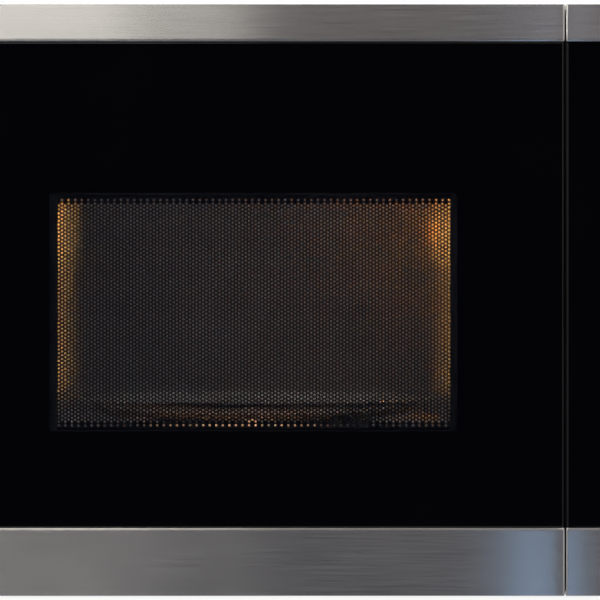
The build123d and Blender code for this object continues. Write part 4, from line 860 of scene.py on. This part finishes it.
floorLook = {"front": -2.15, "back": 4.0, "side": 4.0, "points": 41, "fadeFrom": 0.55, "fadeTo": 1.7,
             "near": 0.85}


def addFloor():
    # a level pale floor that fades to the white of the backdrop away from the oven; from below it is clear
    count = floorLook["points"]
    u, v = np.meshgrid(np.linspace(-floorLook["side"], floorLook["side"], count),
                       np.linspace(floorLook["front"], floorLook["back"], count), indexing="ij")
    points = np.stack([u, v, np.zeros_like(u)], -1).reshape(-1, 3)
    mesh = bpy.data.meshes.new("floor")
    mesh.from_pydata(points.tolist(), [], gridFaces(count, count, False)[:, ::-1].tolist())
    floor = addObject("floor", mesh)
    material = finish("floorPaintedPale", "#f4f3f1", "#efeeec", 400, (0.8, 0.9), 8, 0.01, IOR=1.4)
    tree = material.node_tree
    away = addNode(tree, "VectorMath", {"operation": "LENGTH"}, {0: addNode(tree, "TexCoord").outputs["Object"]})
    share = addNode(tree, "MapRange", {"interpolation_type": "SMOOTHSTEP", "From Min": floorLook["fadeFrom"],
                                       "From Max": floorLook["fadeTo"], "To Min": floorLook["near"]},
                    {"Value": away.outputs["Value"]})
    seen = addNode(tree, "Math", {"operation": "MULTIPLY"},
                   {0: share.outputs[0], 1: addNode(tree, "LightPath").outputs["Is Camera Ray"]})
    mixed = addNode(tree, "MixShader", {}, {0: seen.outputs[0], 1: tree.nodes["Principled BSDF"].outputs[0],
                                            2: addNode(tree, "Emission").outputs[0]})
    below = addNode(tree, "NewGeometry").outputs["Backfacing"]
    through = addNode(tree, "MixShader", {}, {0: below, 1: mixed.outputs[0],
                                              2: addNode(tree, "BsdfTransparent").outputs[0]})
    tree.links.new(through.outputs[0], tree.nodes["Material Output"].inputs["Surface"])
    mesh.materials.append(material)
    floor.visible_glossy = False


def addLight(name, place, aim, size, colour, power, spread=180, mirrored=True):
    # a soft rectangular light that looks at a point, or a small round one where it has no aim; no light is seen
    # itself, and one that isn't mirrored leaves no highlight
    lamp = bpy.data.lights.new(name, "AREA" if aim else "POINT")
    lamp.energy, lamp.color = power, linear(colour)[:3]
    holder = addObject(name, lamp)
    holder.location = place
    if aim:
        lamp.shape, lamp.size, lamp.size_y, lamp.spread = "RECTANGLE", size[0], size[1], radians(spread)
        holder.rotation_euler = (Vector(aim) - Vector(place)).to_track_quat("-Z", "Y").to_euler()
    else:
        lamp.shadow_soft_size = size
    holder.visible_camera = holder.visible_transmission = False
    holder.visible_glossy = mirrored
    return holder


front = ends("door_top_strip")[0][1]

# place, aim and size in metres, colour, watts; from the camera the glass mirrors none of them
studioLights = {
    "keyWide": ((-0.47, -1.7, 0.86), (-0.05, front, 0.25), (0.8, 0.4), "#fffdf6", 1.8),
    "keyLeft": ((-0.62, -1.7, 0.86), (-0.12, front, 0.25), (0.8, 0.4), "#fffdf6", 1.9),
    "overhead": ((0.0, -0.3, 1.9), (0, 0, 0.2), (1.8, 1.4), "#ffffff", 10),
    "windowUpper": ((0.315, -1.9, 0.85), (0.14, front, 0.3), (0.03, 0.4), "#e8e6ff", 0.035),
    "windowLower": ((0.285, -1.9, -0.42), (0.14, front, 0.1), (0.04, 0.5), "#9cc8f8", 0.17),
    "behind": ((0.5, 1.9, 1.4), (0, 0.1, 0.2), (1.6, 1.2), "#fffaf4", 44),
}

# in mm to the right of the oven's left wall, behind its rear wall and above its floor; the fills and the wash
# stand for light that goes to and fro between the walls, the glow strips for the bright rear corners
wide, deep, tall = np.array([ovenHigh[0] - ovenLow[0], ovenBack - ovenFront, ovenHigh[1] - ovenLow[1]]) / mm
ovenLights = {
    "ovenLamp": ((wide - 11, -68, 152), None, 8, "#ff9638", 0.27),
    "ovenFill": ((wide / 2, 12 - deep, tall - 12), (wide / 2, 0, 0), (240, 10), "#f6f2ff", 0.62, 120, False),
    "ovenFloorFill": ((wide / 2 - 50, 12 - deep, 7), (wide / 2 - 50, 0, 0), (200, 8), "#ffb48c", 0.04, 120,
                      False),
    **{"ovenGlow" + side + part: ((near, -14.5, up), (aim, 0, up), (2, length), "#ffae58", power, 100)
       for side, near, aim in (("Left", 4, 5), ("Right", wide - 4, wide - 5))
       for part, up, length, power in (("Low", 95, 140, 0.055), ("High", 152, 50, 0.11))},
    "ovenLampWash": ((wide - 4, -106, 162), (wide - 112.2, 0, 145), (30, 30), "#ff9c4c", 0.27, 140, False),
}


def inOven(spot):
    return tuple(np.array([ovenLow[0], ovenBack, ovenLow[1]]) + np.array(spot) * mm)


def addLights():
    # the narrow window lights reach only the brushed steel, because glass would mirror them as bars
    steelOnly = bpy.data.collections.new("steelOnly")
    for piece in bpy.context.scene.objects:
        if piece.type == "MESH" and stainlessBrushed in list(piece.data.materials):
            steelOnly.objects.link(piece)
    for name, setting in studioLights.items():
        light = addLight(name, *setting)
        if name.startswith("window"):
            light.light_linking.receiver_collection = steelOnly
    for name, (place, aim, size, *rest) in ovenLights.items():
        size = tuple(np.array(size) * mm) if aim else size * mm
        addLight(name, inOven(place), aim and inOven(aim), size, *rest)


roomLook = {"darkTo": 0.014, "paleFrom": 0.08, "rise": 0.3, "dark": (0.008, 0.010, 0.024, 1),
            "low": (0.35, 0.37, 0.42, 1), "high": (0.86, 0.80, 0.76, 1)}


def addWorld():
    # white behind the object; for reflections and light a pale room, lighter upwards, with one dark end in front
    # of the door: 1 + y of the direction is 0 there
    world = bpy.data.worlds.new("studio")
    world.use_nodes = True
    bpy.context.scene.world = world
    tree = world.node_tree
    apart = addNode(tree, "SeparateXYZ", {}, {0: addNode(tree, "TexCoord").outputs["Generated"]})
    turn = addNode(tree, "Math", {"operation": "ADD", 1: 1.0}, {0: apart.outputs[1]})
    share = addNode(tree, "MapRange", {"interpolation_type": "SMOOTHSTEP", "From Min": roomLook["darkTo"],
                                       "From Max": roomLook["paleFrom"]}, {"Value": turn.outputs[0]})
    rise = addNode(tree, "MapRange", {"From Min": -roomLook["rise"], "From Max": roomLook["rise"]},
                   {"Value": apart.outputs[2]})
    pale = addNode(tree, "Mix", {"data_type": "RGBA", 6: roomLook["low"], 7: roomLook["high"]},
                   {0: rise.outputs[0]})
    room = addNode(tree, "Mix", {"data_type": "RGBA", 6: roomLook["dark"]},
                   {0: share.outputs[0], 7: pale.outputs[2]})
    seen = addNode(tree, "LightPath").outputs["Is Camera Ray"]
    both = addNode(tree, "Mix", {"data_type": "RGBA", 7: (1, 1, 1, 1)}, {0: seen, 6: room.outputs[2]})
    tree.links.new(both.outputs[2], tree.nodes["Background"].inputs["Color"])


# x, z and the distance from the door's front in metres; lens and sensor in mm; the shift frames the photo's crop
cameraSet = {"x": -0.0633, "z": 0.196, "away": 1.8, "lens": 163.9, "sensor": 36.0, "shift": 0.054,
             "clipStart": 0.01}


def addCamera():
    camera = addObject("camera", bpy.data.cameras.new("camera"))
    camera.data.lens, camera.data.sensor_width = cameraSet["lens"], cameraSet["sensor"]
    camera.data.shift_x, camera.data.clip_start = cameraSet["shift"], cameraSet["clipStart"]
    camera.location = (cameraSet["x"], front - cameraSet["away"], cameraSet["z"])
    camera.rotation_euler = (pi / 2, 0, 0)
    bpy.context.scene.camera = camera


addFloor()
addLights()
addWorld()
addCamera()
bpy.context.scene.view_settings.view_transform = "Standard"
print("stage, light and camera ready")
